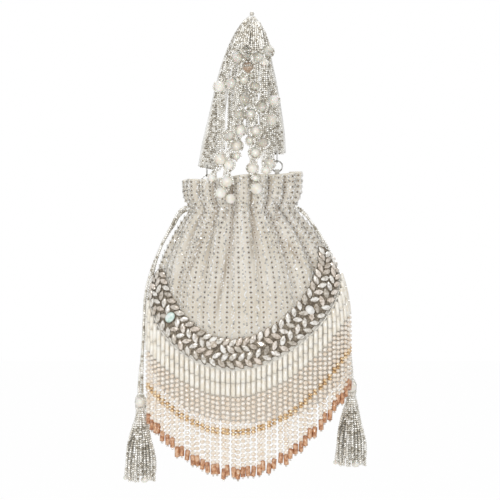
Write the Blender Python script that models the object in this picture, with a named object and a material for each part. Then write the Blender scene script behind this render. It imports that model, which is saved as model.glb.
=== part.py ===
"""A beaded potli bag, hanging from the fold of its strap. Metres, +Z up, front towards -Y.

The origin is the point under the strap's fold, where the bag hangs.
"""

import math

import bmesh
import bpy
import numpy as np
from mathutils import Vector

# Gathered pouch: heights, half-widths and half-depths
RIM_Z = -0.139
NECK_Z = -0.1653
WIDEST_Z = -0.285
BOTTOM_Z = -0.354
RIM_HALF_WIDTH = 0.0485
RIM_HALF_DEPTH = 0.024
NECK_HALF_WIDTH = 0.0415
NECK_HALF_DEPTH = 0.0215
BODY_HALF_WIDTH = 0.0862
BODY_HALF_DEPTH = 0.038
NECK_X = -0.0087
BODY_X = -0.003
BODY_Y = 0.0165
RIM_TILT = 0.0035
FOLDS = 18
NECK_FOLD = 0.0021
RIM_FOLD = 0.003
CLOTH = 0.0012
GAP = 0.0005

# Lining and the drawstring that runs between it and the pouch
LINING_CLOTH = 0.0008
LINING_TOP_RISE = 0.008
STRING_RADIUS = 0.0012
EYELET_RADIUS = 0.0029

# Strap: a flat band folded at the top, turned edge on there
STRAP_WIDTH = 0.015
STRAP_THICKNESS = 0.0018
FOLD_Z = 0.0002
TOP_BEAD_RADIUS = 0.002
LEFT_END = (-0.0392, -0.1305)
RIGHT_END = (0.0218, -0.1183)
HOLE_RADIUS = 0.0012
HOLE_MARGIN = 0.0015

# Links, rings and tabs that hang the pouch
WIRE = 0.0006
LINK_BEND = 0.0022
LINK_STRAIGHT = 0.006
RING_RADIUS = 0.0048
RING_WIRE = 0.0007
SEAT_GAP = 0.0003
TAB_WIDTH = 0.004
TAB_BORE = 0.0016
TAB_CLOTH = 0.0008

# Bead strands in front of the strap
THREAD_RADIUS = 0.001
PEARL_RADIUS = 0.0049
LAYER_BACK = -0.0111
LAYER_STEP = 0.0067
DRAPE_STEP = 0.0022
FAN_TOP_Z = -0.004
FAN_HEIGHT = 0.022

# Crystal band
BAND_LOW_Z = -0.291
BAND_RISE = 0.0492
BAND_TURN = 1.6
BAND_CENTRE = math.radians(-9)
BAND_HALF_HEIGHT = 0.0128
BAND_BACKING = 0.001
BAND_SEAT = 0.0007
BAND_REACH = math.radians(81)
LEAF_HEIGHT = 0.0017
LEAVES_PER_ROW = 34
LEAF_LINES = (0.0, 0.9, 0.0, 0.9, 0.0)

# Bead fringe
FRINGE_STRANDS = 39
STRING_SHARE = 0.88
FRINGE_REACH = math.radians(83)
HEADER_HEIGHT = 0.0018
BUGLE_RADIUS = 0.00135
FRINGE_PEARL_RADIUS = 0.0017
GOLD_RADIUS = 0.0021
COPPER_RADIUS = 0.0016
COPPER_LENGTH = 0.0085
PEARL_RUN = 0.03
GOLD_LOW_Z = -0.3585
GOLD_LOW_X = -0.016
GOLD_CURVE = 6.8
COPPER_LOW_Z = -0.393
COPPER_LOW_X = -0.014
COPPER_CURVE = 7.5
COPPER_JAG = 0.0016

# Drawcords and tassels
CORD_RADIUS = 0.0022
TASSEL_STRINGS = 7
TASSEL_LENGTH = 0.064
TASSEL_SPREAD = 0.0135
TASSEL_CAP_RADIUS = 0.0052
TASSEL_STRING_RADIUS = 0.0013
CAP_PEARL_RADIUS = 0.0042


def clear_scene():
    for item in list(bpy.data.objects):
        bpy.data.objects.remove(item, do_unlink=True)


def material(name, colour, roughness, metallic=0.0):
    made = bpy.data.materials.new(name)
    made.use_nodes = True
    shader = made.node_tree.nodes["Principled BSDF"]
    shader.inputs["Base Color"].default_value = (*colour, 1)
    shader.inputs["Roughness"].default_value = roughness
    shader.inputs["Metallic"].default_value = metallic
    made.diffuse_color = (*colour, 1)
    return made


def add_object(name, bm, look, origin=(0, 0, 0), smooth_angle=40):
    """Makes an object of the mesh, with its origin moved to the given point."""
    bmesh.ops.recalc_face_normals(bm, faces=bm.faces)
    mesh = bpy.data.meshes.new(name)
    bmesh.ops.translate(bm, verts=bm.verts, vec=-Vector(origin))
    bm.to_mesh(mesh)
    bm.free()
    mesh.shade_smooth()
    mesh.set_sharp_from_angle(angle=math.radians(smooth_angle))
    mesh.materials.append(look)
    item = bpy.data.objects.new(name, mesh)
    item.location = origin
    bpy.context.collection.objects.link(item)
    return item


def add_skin(bm, rings, closed=False):
    """Joins rings of as many points each into a tube, with its ends filled unless it closes on itself."""
    made = [[bm.verts.new(point) for point in ring] for ring in rings]
    count = len(made[0])
    pairs = list(zip(made, made[1:]))
    if closed:
        pairs.append((made[-1], made[0]))
    for low, high in pairs:
        for i in range(count):
            j = (i + 1) % count
            bm.faces.new((low[i], low[j], high[j], high[i]))
    if not closed:
        bm.faces.new(list(reversed(made[0])))
        bm.faces.new(made[-1])


def ring_around(centre, along, radius, sides, start=0.0):
    """Points of a circle around the centre, square to the direction."""
    along = Vector(along).normalized()
    side = Vector((1, 0, 0)) if abs(along.x) < 0.8 else Vector((0, 1, 0))
    across = along.cross(side).normalized()
    other = along.cross(across)
    turns = [start + 2 * math.pi * i / sides for i in range(sides)]
    return [Vector(centre) + radius * (math.cos(t) * across + math.sin(t) * other) for t in turns]


def add_string(bm, points, radii, sides):
    """A closed tube through the points, with its own radius at each of them."""
    rings = []
    for i, point in enumerate(points):
        before = points[max(i - 1, 0)]
        after = points[min(i + 1, len(points) - 1)]
        rings.append(ring_around(point, Vector(after) - Vector(before), radii[i], sides))
    add_skin(bm, rings)


def add_loop(bm, points, radius, sides, normal):
    """A wire bent into a closed flat loop. The normal is square to its plane."""
    rings = []
    count = len(points)
    for i, point in enumerate(points):
        along = (Vector(points[(i + 1) % count]) - Vector(points[i - 1])).normalized()
        outward = along.cross(normal).normalized()
        turns = [2 * math.pi * k / sides for k in range(sides)]
        rings.append([point + radius * (math.cos(t) * outward + math.sin(t) * normal) for t in turns])
    add_skin(bm, rings, closed=True)


def boolean(item, other, operation):
    cut = item.modifiers.new(operation.title(), "BOOLEAN")
    cut.operation = operation
    cut.object = other
    other.hide_render = True
    other.display_type = "WIRE"


def smooth_route(route, count):
    """Points spaced evenly along a Catmull-Rom curve through the route."""
    points = [np.array(p, float) for p in route]
    points = [2 * points[0] - points[1], *points, 2 * points[-1] - points[-2]]
    fine = []
    for a, b, c, d in zip(points, points[1:], points[2:], points[3:]):
        for t in np.linspace(0, 1, 12, endpoint=False):
            flat = 2 * b + (c - a) * t
            bend = (2 * a - 5 * b + 4 * c - d) * t**2 + (3 * b - a - 3 * c + d) * t**3
            fine.append((flat + bend) / 2)
    fine.append(points[-2])
    fine = np.array(fine)
    run = np.concatenate([[0], np.cumsum(np.linalg.norm(np.diff(fine, axis=0), axis=1))])
    spots = np.linspace(0, run[-1], count)
    return [Vector([float(np.interp(s, run, fine[:, k])) for k in range(3)]) for s in spots]


# The pouch's form: one surface that the cloth, the band and the fringe all follow


def bag_section(z):
    """Half-width, half-depth, height of the folds and centre of the pouch at one height."""
    if z >= NECK_Z:
        rise = 1 - (1 - min((z - NECK_Z) / (RIM_Z - NECK_Z), 1)) ** 4
        half_width = NECK_HALF_WIDTH + (RIM_HALF_WIDTH - NECK_HALF_WIDTH) * rise
        half_depth = NECK_HALF_DEPTH + (RIM_HALF_DEPTH - NECK_HALF_DEPTH) * rise
        return half_width, half_depth, NECK_FOLD + (RIM_FOLD - NECK_FOLD) * rise, NECK_X
    if z >= WIDEST_Z:
        down = (NECK_Z - z) / (NECK_Z - WIDEST_Z)
        swell = 1 - (1 - down) ** 2.5
        half_width = NECK_HALF_WIDTH + (BODY_HALF_WIDTH - NECK_HALF_WIDTH) * swell
        half_depth = NECK_HALF_DEPTH + (BODY_HALF_DEPTH - NECK_HALF_DEPTH) * swell
        fold = NECK_FOLD * (1 - down) ** 1.3 * (1 + 1.6 * down)
        return half_width, half_depth, fold, NECK_X + (BODY_X - NECK_X) * swell
    down = min((WIDEST_Z - z) / (WIDEST_Z - BOTTOM_Z), 0.9995)
    shrink = math.sqrt(1 - down**2.4)
    return BODY_HALF_WIDTH * shrink, BODY_HALF_DEPTH * shrink, 0.0, BODY_X


def lean_back(z):
    """How far the pouch hangs behind its neck, because the fringe makes its front the heavier side."""
    down = min(max((NECK_Z - z) / (NECK_Z - WIDEST_Z), 0), 1)
    return BODY_Y * (1 - (1 - down) ** 2.5)


def bag_point(angle, z, offset=0.0, ripple=None):
    """A point on the cloth, or off it by the offset. The angle is 0 at the front and grows to the right."""
    half_width, half_depth, fold, centre = bag_section(z)
    wave = math.cos(FOLDS * angle) if ripple is None else ripple
    lift = fold * wave + offset
    rise = max((z - NECK_Z) / (RIM_Z - NECK_Z), 0)
    x = centre + (half_width + lift) * math.sin(angle)
    y = lean_back(z) - (half_depth + lift) * math.cos(angle)
    return Vector((x, y, z + RIM_TILT * rise * math.sin(angle)))


def inner_point(angle, z, inset, ripple=None):
    """A point inside the cloth by the inset, measured square to the cloth where the bottom curves under."""
    step = 0.0005
    slope = (bag_section(z + step)[0] - bag_section(z - step)[0]) / (2 * step) if z < WIDEST_Z else 0
    lean = math.atan(slope)
    point = bag_point(angle, z, -inset * math.cos(lean), ripple)
    point.z += inset * math.sin(lean)
    return point


def pouch_heights():
    ruffle = [RIM_Z, RIM_Z - 0.6 * (RIM_Z - NECK_Z), NECK_Z]
    down = [0.1, 0.26, 0.56]
    body = [NECK_Z + (WIDEST_Z - NECK_Z) * share for share in down]
    low = [0.0, 0.5, 0.82, 0.97]
    return ruffle + body + [WIDEST_Z + (BOTTOM_Z - WIDEST_Z) * share for share in low]


def build_pouch(look):
    bm = bmesh.new()
    angles = [2 * math.pi * i / (3 * FOLDS) for i in range(3 * FOLDS)]
    heights = pouch_heights()
    outer = [[bag_point(a, z) for a in angles] for z in reversed(heights)]
    inner = [[inner_point(a, z, CLOTH) for a in angles] for z in heights]
    add_skin(bm, outer + inner)
    pouch = add_object("pouch", bm, look, smooth_angle=60)
    boolean(pouch, eyelet_cutter(), "DIFFERENCE")
    return pouch


def eyelet_cutter():
    """One rod across the neck, which opens an eyelet for the drawstring in each side seam."""
    bm = bmesh.new()
    reach = NECK_HALF_WIDTH + 0.01
    ends = [Vector((NECK_X + side * reach, 0, NECK_Z)) for side in (-1, 1)]
    add_skin(bm, [ring_around(end, (1, 0, 0), EYELET_RADIUS, 8) for end in ends])
    return add_object("eyelet_cutter", bm, bpy.data.materials["cloth"])


def lining_inset(z):
    """How far the lining's outer face lies inside the pouch's mean surface."""
    fold = bag_section(z)[2]
    down = min(max((NECK_Z - z) / (NECK_Z - WIDEST_Z), 0), 1)
    string_room = (2 * STRING_RADIUS + GAP) * (1 - down) ** 4
    return fold + CLOTH + GAP + string_room


def build_lining(look):
    """The inner bag: straight past the drawstring, then along the pouch's own form."""
    bm = bmesh.new()
    count = FOLDS
    angles = [2 * math.pi * i / count for i in range(count)]
    heights = [z for z in pouch_heights() if z < NECK_Z][1:]
    collar = [LINING_TOP_RISE, -2 * STRING_RADIUS]

    def face(thickness):
        rows = []
        for rise in collar:
            inset = lining_inset(NECK_Z) + thickness
            rows.append([inner_point(a, NECK_Z, inset, 0) + Vector((0, 0, rise)) for a in angles])
        for z in heights:
            rows.append([inner_point(a, z, lining_inset(z) + thickness, 0) for a in angles])
        return rows

    add_skin(bm, face(0)[::-1] + face(LINING_CLOTH))
    return add_object("lining", bm, look)


def build_drawstring(look):
    bm = bmesh.new()
    inset = -(bag_section(NECK_Z)[2] + CLOTH + GAP + STRING_RADIUS)
    angles = [2 * math.pi * i / 24 for i in range(24)]
    points = [bag_point(a, NECK_Z, inset, 0) for a in angles]
    add_loop(bm, points, STRING_RADIUS, 4, Vector((0, 0, 1)))
    return add_object("drawstring", bm, look)


# Strap and the hardware at its ends


def strap_stations():
    """Centre and visible share of the width, from the left end over the fold to the right end."""
    left = LEFT_END
    right = RIGHT_END
    return [
        (left[0], left[1], 1.0),
        (-0.0355, -0.110, 1.0),
        (-0.0300, -0.082, 0.85),
        (-0.0262, -0.060, 0.7),
        (-0.0220, -0.040, 0.5),
        (-0.0165, -0.022, 0.3),
        (-0.0085, -0.006, 0.1),
        (0.0000, FOLD_Z, 0.0),
        (0.0065, -0.007, 0.1),
        (0.0105, -0.022, 0.4),
        (0.0130, -0.040, 0.6),
        (0.0158, -0.060, 0.8),
        (0.0185, -0.082, 0.95),
        (0.0208, -0.102, 1.0),
        (right[0], right[1], 1.0),
    ]


def build_strap(look):
    bm = bmesh.new()
    stations = strap_stations()
    route = smooth_route([(x, share, z) for x, z, share in stations], 2 * len(stations) - 1)
    rings = []
    for i, spot in enumerate(route):
        before = route[max(i - 1, 0)]
        after = route[min(i + 1, len(route) - 1)]
        along = Vector((after.x - before.x, 0, after.z - before.z)).normalized()
        turn = math.acos(min(max(spot.y, 0.0), 1.0))
        flat = Vector((-along.z, 0, along.x))
        across = math.cos(turn) * flat + math.sin(turn) * Vector((0, 1, 0))
        thick = along.cross(across)
        centre = Vector((spot.x, 0, spot.z))
        half = across * STRAP_WIDTH / 2
        depth = thick * STRAP_THICKNESS / 2
        soft = 0.72
        rings.append(
            [
                centre - half,
                centre - soft * half - depth,
                centre + soft * half - depth,
                centre + half,
                centre + soft * half + depth,
                centre - soft * half + depth,
            ]
        )
    add_skin(bm, rings)
    strap = add_object("strap", bm, look, smooth_angle=50)
    boolean(strap, strap_hole_cutter(), "DIFFERENCE")
    return strap


def hole_height(end):
    return end[1] + HOLE_MARGIN + HOLE_RADIUS


def strap_hole_cutter():
    """Two pins along Y, which open the holes for the links in the strap's ends."""
    bm = bmesh.new()
    for end in (LEFT_END, RIGHT_END):
        spots = [Vector((end[0], y, hole_height(end))) for y in (-STRAP_WIDTH / 2, STRAP_WIDTH / 2)]
        add_skin(bm, [ring_around(spot, (0, 1, 0), HOLE_RADIUS, 10) for spot in spots])
    return add_object("strap_hole_cutter", bm, bpy.data.materials["cloth"])


def ring_top(end):
    """Centre of the ring's wire where the link carries it."""
    link_top = Vector((end[0], 0, hole_height(end) - LINK_BEND))
    drop = LINK_STRAIGHT + LINK_BEND - WIRE - RING_WIRE - SEAT_GAP
    return link_top - Vector((0, 0, drop))


def ring_bottom(end):
    return ring_top(end) - Vector((0, 0, 2 * RING_RADIUS))


def build_link(name, end, look):
    bm = bmesh.new()
    top = Vector((end[0], 0, hole_height(end) - LINK_BEND))
    points = []
    for k in range(5):
        turn = math.pi * k / 4
        points.append(top + LINK_BEND * Vector((0, math.cos(turn), math.sin(turn))))
    for k in range(5):
        turn = math.pi + math.pi * k / 4
        low = top - Vector((0, 0, LINK_STRAIGHT))
        points.append(low + LINK_BEND * Vector((0, math.cos(turn), math.sin(turn))))
    add_loop(bm, points, WIRE, 5, Vector((1, 0, 0)))
    return add_object(name, bm, look, smooth_angle=80)


def build_ring(name, end, look):
    bm = bmesh.new()
    centre = ring_top(end) - Vector((0, 0, RING_RADIUS))
    turns = [2 * math.pi * k / 14 for k in range(14)]
    points = [centre + RING_RADIUS * Vector((math.cos(t), 0, math.sin(t))) for t in turns]
    add_loop(bm, points, RING_WIRE, 5, Vector((0, 1, 0)))
    return add_object(name, bm, look, ring_top(end), smooth_angle=80)


def build_tab(name, end, side, look):
    """A cloth loop around the ring's lower wire, with a tail that is sewn to the lining at the side seam."""
    pivot = ring_bottom(end)
    bm = bmesh.new()
    outer = TAB_BORE + TAB_CLOTH
    half = TAB_WIDTH / 2
    eye = pivot - Vector((0, 0, 0.0002))
    add_skin(bm, [ring_around(eye + Vector((s * half, 0, 0)), (1, 0, 0), outer, 10) for s in (-1, 1)])
    tab = add_object(name, bm, look, pivot)
    inset = -(lining_inset(NECK_Z) + LINING_CLOTH + GAP)
    wall = bag_point(side * math.pi / 2, NECK_Z, inset, 0).x
    wall = NECK_X + (wall - NECK_X) * math.cos(math.pi / FOLDS)
    inner = wall - side * TAB_WIDTH
    tail = bmesh.new()
    high_z = eye.z - (outer + TAB_BORE) / 2
    low_z = NECK_Z
    corners = [(eye.x - half, high_z), (eye.x + half, high_z), (max(wall, inner), low_z), (min(wall, inner), low_z)]
    faces = [[Vector((x, y, z)) for x, z in corners] for y in (-TAB_CLOTH, TAB_CLOTH)]
    add_skin(tail, faces)
    boolean(tab, add_object(name + "_tail", tail, look), "UNION")
    bore = bmesh.new()
    add_skin(bore, [ring_around(eye + Vector((s * TAB_WIDTH, 0, 0)), (1, 0, 0), TAB_BORE, 10) for s in (-1, 1)])
    boolean(tab, add_object(name + "_bore", bore, look), "DIFFERENCE")
    return tab


# Strings of beads and pearls in front of the strap: each lists its start, its pearls and its end


def pearl(x, z, radius=PEARL_RADIUS):
    return (x, z, radius)


STRANDS = {
    "strand_1": (0, 0, (-0.0056, -0.0034), [
        pearl(-0.0044, -0.0322), pearl(-0.0035, -0.0448, 0.0052), pearl(-0.0065, -0.0722), pearl(-0.0113, -0.0853)],
        (-0.0125, -0.095)),
    "strand_2": (1, 1, (-0.0056, -0.0034), [
        pearl(-0.0122, -0.0365), pearl(-0.0178, -0.0583), pearl(-0.0191, -0.1035)], (-0.0200, -0.114)),
    "strand_3": (1, 0, (0.0016, -0.0010), [
        pearl(0.0052, -0.0365), pearl(0.0022, -0.0622), pearl(-0.0009, -0.0853), pearl(-0.0013, -0.1079, 0.0035)],
        (-0.0026, -0.114)),
    "strand_4": (0, 0, (0.0052, -0.0050), [
        pearl(0.0135, -0.0305), pearl(0.0083, -0.0787), pearl(0.0096, -0.1101)], (0.0092, -0.118)),
    "strand_5": (2, 0, (-0.0018, -0.0008), [
        pearl(-0.0074, -0.0552), pearl(-0.0104, -0.0992), pearl(-0.0135, -0.1127), pearl(-0.0135, -0.1215, 0.0034)],
        (-0.0132, -0.127)),
    "strand_6": (3, 2, (-0.0056, -0.0034), [
        pearl(-0.0274, -0.0622), pearl(-0.0270, -0.1244), pearl(-0.0344, -0.1405, 0.0033)], (-0.0352, -0.146)),
    "strand_7": (2, 1, (0.0016, -0.0010), [
        pearl(-0.0004, -0.0518, 0.0022), pearl(0.0030, -0.1001), pearl(0.0026, -0.1188)], (0.0040, -0.126)),
    "strand_8": (1, 1, (0.0052, -0.0050), [
        pearl(0.0183, -0.0731), pearl(0.0165, -0.0900), pearl(0.0148, -0.1275)], (0.0150, -0.136)),
    "strand_9": (3, 1, (-0.0018, -0.0008), [
        pearl(-0.0196, -0.1292, 0.0044), pearl(-0.0213, -0.1436), pearl(-0.0265, -0.1531)], (-0.0270, -0.160)),
    "strand_10": (3, 2, (0.0016, -0.0010), [
        pearl(0.0004, -0.1322, 0.0044), pearl(0.0030, -0.1409, 0.0026), pearl(0.0039, -0.1496, 0.0052)],
        (0.0042, -0.157)),
    "strand_11": (3, 2, (0.0052, -0.0050), [
        pearl(0.0104, -0.0420, 0.0026), pearl(0.0120, -0.1340, 0.0035)], (0.0125, -0.141)),
}


def strand_depth(layer, rank, z):
    """Strands are sewn to the fold one before another, then swing out to layers a pearl's room apart."""
    start = -(STRAP_WIDTH / 2 + THREAD_RADIUS + SEAT_GAP) - DRAPE_STEP * rank
    hang = LAYER_BACK - LAYER_STEP * layer
    share = min(max((FAN_TOP_Z - z) / FAN_HEIGHT, 0), 1)
    return start + (hang - start) * share


def build_strand(name, look):
    """One string with its pearls: a tube that swells into each pearl."""
    layer, rank, start, pearls, end = STRANDS[name]
    route = [(start[0], start[1]), *[(x, z) for x, z, _ in pearls], end]
    heights = [start[1]]
    radii = [THREAD_RADIUS]
    for z_between in np.linspace(start[1], pearls[0][1] + pearls[0][2], 5)[1:-1]:
        heights.append(float(z_between))
        radii.append(THREAD_RADIUS)
    for i, (_, z, radius) in enumerate(pearls):
        if i:
            gap_top = heights[-1]
            gap_low = z + radius
            steps = int((gap_top - gap_low) / 0.014)
            for k in range(steps):
                heights.append(gap_top + (gap_low - gap_top) * (k + 1) / (steps + 1))
                radii.append(THREAD_RADIUS)
        for turn in (1, 45, 90, 135, 179):
            angle = math.radians(turn)
            heights.append(z + radius * math.cos(angle))
            radii.append(max(radius * math.sin(angle), THREAD_RADIUS))
    heights.append(end[1])
    radii.append(THREAD_RADIUS)
    order = sorted(zip(heights, radii), reverse=True)
    zs = [z for _, z in route][::-1]
    xs = [x for x, _ in route][::-1]
    points = [Vector((float(np.interp(z, zs, xs)), strand_depth(layer, rank, z), z)) for z, _ in order]
    bm = bmesh.new()
    add_string(bm, points, [radius for _, radius in order], 5)
    return add_object(name, bm, look, smooth_angle=70)


# Crystal band


def band_height(angle):
    return BAND_LOW_Z + BAND_RISE * (1 - math.cos(BAND_TURN * (angle - BAND_CENTRE)))


def band_spot(angle, up):
    """The angle and height on the pouch of a spot that lies the distance up above the band's middle line."""
    step = 0.01
    here = bag_point(angle, band_height(angle), 0, 1)
    along = (bag_point(angle + step, band_height(angle + step), 0, 1) - here).normalized()
    sideways = bag_point(angle + step, here.z, 0, 1) - here
    per_turn = sideways.length / step
    flat = along.dot(sideways.normalized())
    return angle - up * along.z / per_turn, here.z + up * flat


def band_point(angle, up, offset):
    spot_angle, z = band_spot(angle, up)
    return bag_point(spot_angle, z, offset, 1)


def build_band(look):
    """A backing that is set all over with pointed stones in leaning rows, like leaves along two stems."""
    bm = bmesh.new()
    rows = len(LEAF_LINES) - 1
    face = BAND_SEAT + BAND_BACKING
    columns = LEAVES_PER_ROW + 1

    def spot(line, column, offset):
        share = (column + LEAF_LINES[line]) / (LEAVES_PER_ROW + 1)
        up = BAND_HALF_HEIGHT * (2 * line / rows - 1)
        return band_point((2 * share - 1) * BAND_REACH, up, offset)

    front = [[bm.verts.new(spot(line, k, face)) for k in range(columns)] for line in range(rows + 1)]
    back = [[bm.verts.new(spot(line, k, BAND_SEAT)) for k in range(columns)] for line in range(rows + 1)]
    for line in range(rows):
        for k in range(LEAVES_PER_ROW):
            corners = [front[line][k], front[line][k + 1], front[line + 1][k + 1], front[line + 1][k]]
            middle = sum((c.co for c in corners), Vector()) / 4
            share = (k + 1) / (LEAVES_PER_ROW + 1)
            angle = (2 * share - 1) * BAND_REACH
            out = bag_point(angle, middle.z, 0.01, 0) - bag_point(angle, middle.z, 0, 0)
            top = bm.verts.new(middle + out.normalized() * LEAF_HEIGHT)
            for i in range(4):
                bm.faces.new((corners[i], corners[(i + 1) % 4], top))
    for low, high in zip(back, back[1:]):
        for k in range(LEAVES_PER_ROW):
            bm.faces.new((low[k], high[k], high[k + 1], low[k + 1]))
    for fore, rear in ((front[0], back[0]), (front[-1], back[-1])):
        for k in range(LEAVES_PER_ROW):
            bm.faces.new((fore[k], rear[k], rear[k + 1], fore[k + 1]))
    for k in (0, -1):
        bm.faces.new([line[k] for line in front] + [line[k] for line in reversed(back)])
    return add_object("crystal_band", bm, look, smooth_angle=10)


# Bead fringe


def even_angles():
    """Angles that space the strands evenly around the front of the body."""
    fine = np.linspace(-FRINGE_REACH, FRINGE_REACH, 400)
    places = np.array([bag_point(a, WIDEST_Z, 0, 0) for a in fine])
    run = np.concatenate([[0], np.cumsum(np.linalg.norm(np.diff(places, axis=0), axis=1))])
    return [float(np.interp(s, run, fine)) for s in np.linspace(0, run[-1], FRINGE_STRANDS)]


def header_spots():
    """Angle and height of the header tape's lower edge, which clears the band all along."""
    drop = BAND_HALF_HEIGHT + GAP + HEADER_HEIGHT + BUGLE_RADIUS / 2
    spots = [band_spot(a, -drop) for a in np.linspace(-BAND_REACH, BAND_REACH, 80)]
    return [angle for angle, _ in spots], [z for _, z in spots]


def build_fringe(look):
    """A header tape with the strings growing from its lower edge, like a comb."""
    spot_angles, spot_heights = header_spots()
    bm = bmesh.new()
    sections = []
    for index, angle in enumerate(even_angles()):
        z = float(np.interp(angle, spot_angles, spot_heights))
        along, out = side_and_out(angle)
        low = bag_point(angle, z, GAP, 1)
        for side in (-1, 1):
            foot = low + along * side * STRING_SHARE * BUGLE_RADIUS
            corners = [foot, foot + out * BAND_BACKING]
            lift = Vector((0, 0, HEADER_HEIGHT))
            sections.append([bm.verts.new(p) for p in (*corners, corners[1] + lift, corners[0] + lift)])
        add_fringe_string(bm, sections[-2], sections[-1], index, angle, z)
    for k, (before, after) in enumerate(zip(sections, sections[1:])):
        for i in range(4):
            if i == 0 and k % 2 == 0:
                continue
            j = (i + 1) % 4
            bm.faces.new((before[i], before[j], after[j], after[i]))
    bm.faces.new(sections[0])
    bm.faces.new(sections[-1])
    return add_object("fringe", bm, look, smooth_angle=50)


def side_and_out(angle):
    """Directions along the front of the body to the right, and out from it."""
    along = (bag_point(angle + 0.01, WIDEST_Z, 0, 0) - bag_point(angle - 0.01, WIDEST_Z, 0, 0)).normalized()
    return along, Vector((along.y, -along.x, 0))


def add_fringe_string(bm, left, right, index, angle, start):
    """One square string under the header: long bugles, small pearls, a gold bead, pearls, a copper bugle."""
    along, out = side_and_out(angle)
    hang_z = min(start, WIDEST_Z)
    offset = GAP + COPPER_RADIUS
    x = bag_point(angle, hang_z, offset, 1).x
    gold = GOLD_LOW_Z + GOLD_CURVE * (x - GOLD_LOW_X) ** 2
    copper = COPPER_LOW_Z + COPPER_CURVE * (x - COPPER_LOW_X) ** 2 + COPPER_JAG * math.sin(2.4 * index)
    top_copper = copper + COPPER_LENGTH / 2
    pearls = min(gold + PEARL_RUN, start - 0.006)
    profile = [(start - 0.002, BUGLE_RADIUS)]
    if start > WIDEST_Z + 0.02:
        profile += [(start + (WIDEST_Z - start) * share, BUGLE_RADIUS) for share in (0.3, 0.6)]
    profile += [
        (pearls, BUGLE_RADIUS),
        (gold + 0.003, FRINGE_PEARL_RADIUS),
        (gold, GOLD_RADIUS),
        (gold - 0.003, FRINGE_PEARL_RADIUS),
        (top_copper, BUGLE_RADIUS),
        (copper - COPPER_LENGTH / 2, COPPER_RADIUS),
    ]
    profile.sort(reverse=True)
    last = [left[0], right[0], right[1], left[1]]
    for z, radius in profile:
        point = bag_point(angle, max(z, hang_z), offset, 1)
        point.z = z
        half = STRING_SHARE * radius
        signs = ((-1, -1), (1, -1), (1, 1), (-1, 1))
        ring = [bm.verts.new(point + along * half * s + out * half * t) for s, t in signs]
        for i in range(4):
            j = (i + 1) % 4
            bm.faces.new((last[i], last[j], ring[j], ring[i]))
        last = ring
    bm.faces.new(last)


# Drawcords: their routes are chosen by hand, from the eyelet to the tassel

LEFT_CORD = [
    (-0.0494, 0.0000, -0.1653),
    (-0.0578, 0.0000, -0.1663),
    (-0.0640, 0.0000, -0.1712),
    (-0.0688, 0.0005, -0.1800),
    (-0.0735, 0.0020, -0.1875),
    (-0.0800, 0.0026, -0.2000),
    (-0.0872, 0.0028, -0.2200),
    (-0.0921, 0.0028, -0.2430),
    (-0.0949, 0.0028, -0.2750),
    (-0.0969, 0.0036, -0.3020),
    (-0.0979, 0.0058, -0.3180),
    (-0.0980, 0.0060, -0.3290),
]
RIGHT_CORD = [
    (0.0320, 0.0000, -0.1653),
    (0.0404, 0.0000, -0.1663),
    (0.0468, 0.0008, -0.1712),
    (0.0530, 0.0046, -0.1798),
    (0.0582, 0.0084, -0.1875),
    (0.0653, 0.0097, -0.2000),
    (0.0750, 0.0106, -0.2200),
    (0.0816, 0.0112, -0.2430),
    (0.0850, 0.0114, -0.2750),
    (0.0868, 0.0114, -0.2980),
    (0.0875, 0.0114, -0.3160),
]


def hung(route):
    """The route's points, moved back with the side of the pouch that the cord hangs along."""
    return [(x, y + lean_back(z), z) for x, y, z in route]


def build_cord(name, route, look):
    points = smooth_route(hung(route), 16)
    curve = bpy.data.curves.new(name, "CURVE")
    curve.dimensions = "3D"
    curve.bevel_depth = CORD_RADIUS
    curve.bevel_resolution = 2
    curve.use_fill_caps = True
    curve.resolution_u = 1
    spline = curve.splines.new("POLY")
    spline.points.add(len(points) - 1)
    for spot, point in zip(spline.points, points):
        spot.co = (*point, 1)
    curve.materials.append(look)
    item = bpy.data.objects.new(name, curve)
    bpy.context.collection.objects.link(item)
    return item


def build_tassel(name, route, look):
    """A bead cap under the cord's end, with bead strings that fan out from it."""
    top = Vector(hung(route)[-1]) - Vector((0, 0, SEAT_GAP))
    bm = bmesh.new()
    cap_heights = [0, -0.0015, -0.0045, -0.009, -0.013]
    cap_radii = [0.0022, 0.0042, TASSEL_CAP_RADIUS, TASSEL_CAP_RADIUS, 0.0046]
    points = [top + Vector((0, 0, z)) for z in cap_heights]
    rings = [ring_around(p, (0, 0, 1), r, 8) for p, r in zip(points, cap_radii)]
    add_skin(bm, rings)
    tassel = add_object(name, bm, look, smooth_angle=60)
    strings = bmesh.new()
    for k in range(TASSEL_STRINGS):
        turn = 2 * math.pi * k / (TASSEL_STRINGS - 1)
        outer = k < TASSEL_STRINGS - 1
        near = 0.0030 if outer else 0.0
        spread = (TASSEL_SPREAD if k % 2 else 0.62 * TASSEL_SPREAD) if outer else 0.002
        length = TASSEL_LENGTH * (0.93 + 0.07 * math.sin(2.1 * k))
        line = []
        for share in (0, 0.3, 0.65, 0.9, 1):
            reach = near + (spread - near) * math.sin(share * math.pi / 2) ** 1.2
            drop = -0.0115 - length * share
            line.append(top + Vector((reach * math.sin(turn), reach * math.cos(turn), drop)))
        add_string(strings, line, [0.001, TASSEL_STRING_RADIUS, TASSEL_STRING_RADIUS, 0.0022, 0.0012], 4)
    boolean(tassel, add_object(name + "_strings", strings, look), "UNION")
    return tassel


def build_cap_pearl(name, route, look):
    """A pearl that sits on the front of the tassel's cap."""
    reach = TASSEL_CAP_RADIUS + CAP_PEARL_RADIUS + GAP
    centre = Vector(hung(route)[-1]) + Vector((0, -reach, -0.0065))
    bm = bmesh.new()
    bmesh.ops.create_uvsphere(bm, u_segments=8, v_segments=6, radius=CAP_PEARL_RADIUS)
    bmesh.ops.translate(bm, verts=bm.verts, vec=centre)
    return add_object(name, bm, look, smooth_angle=80)


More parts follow.
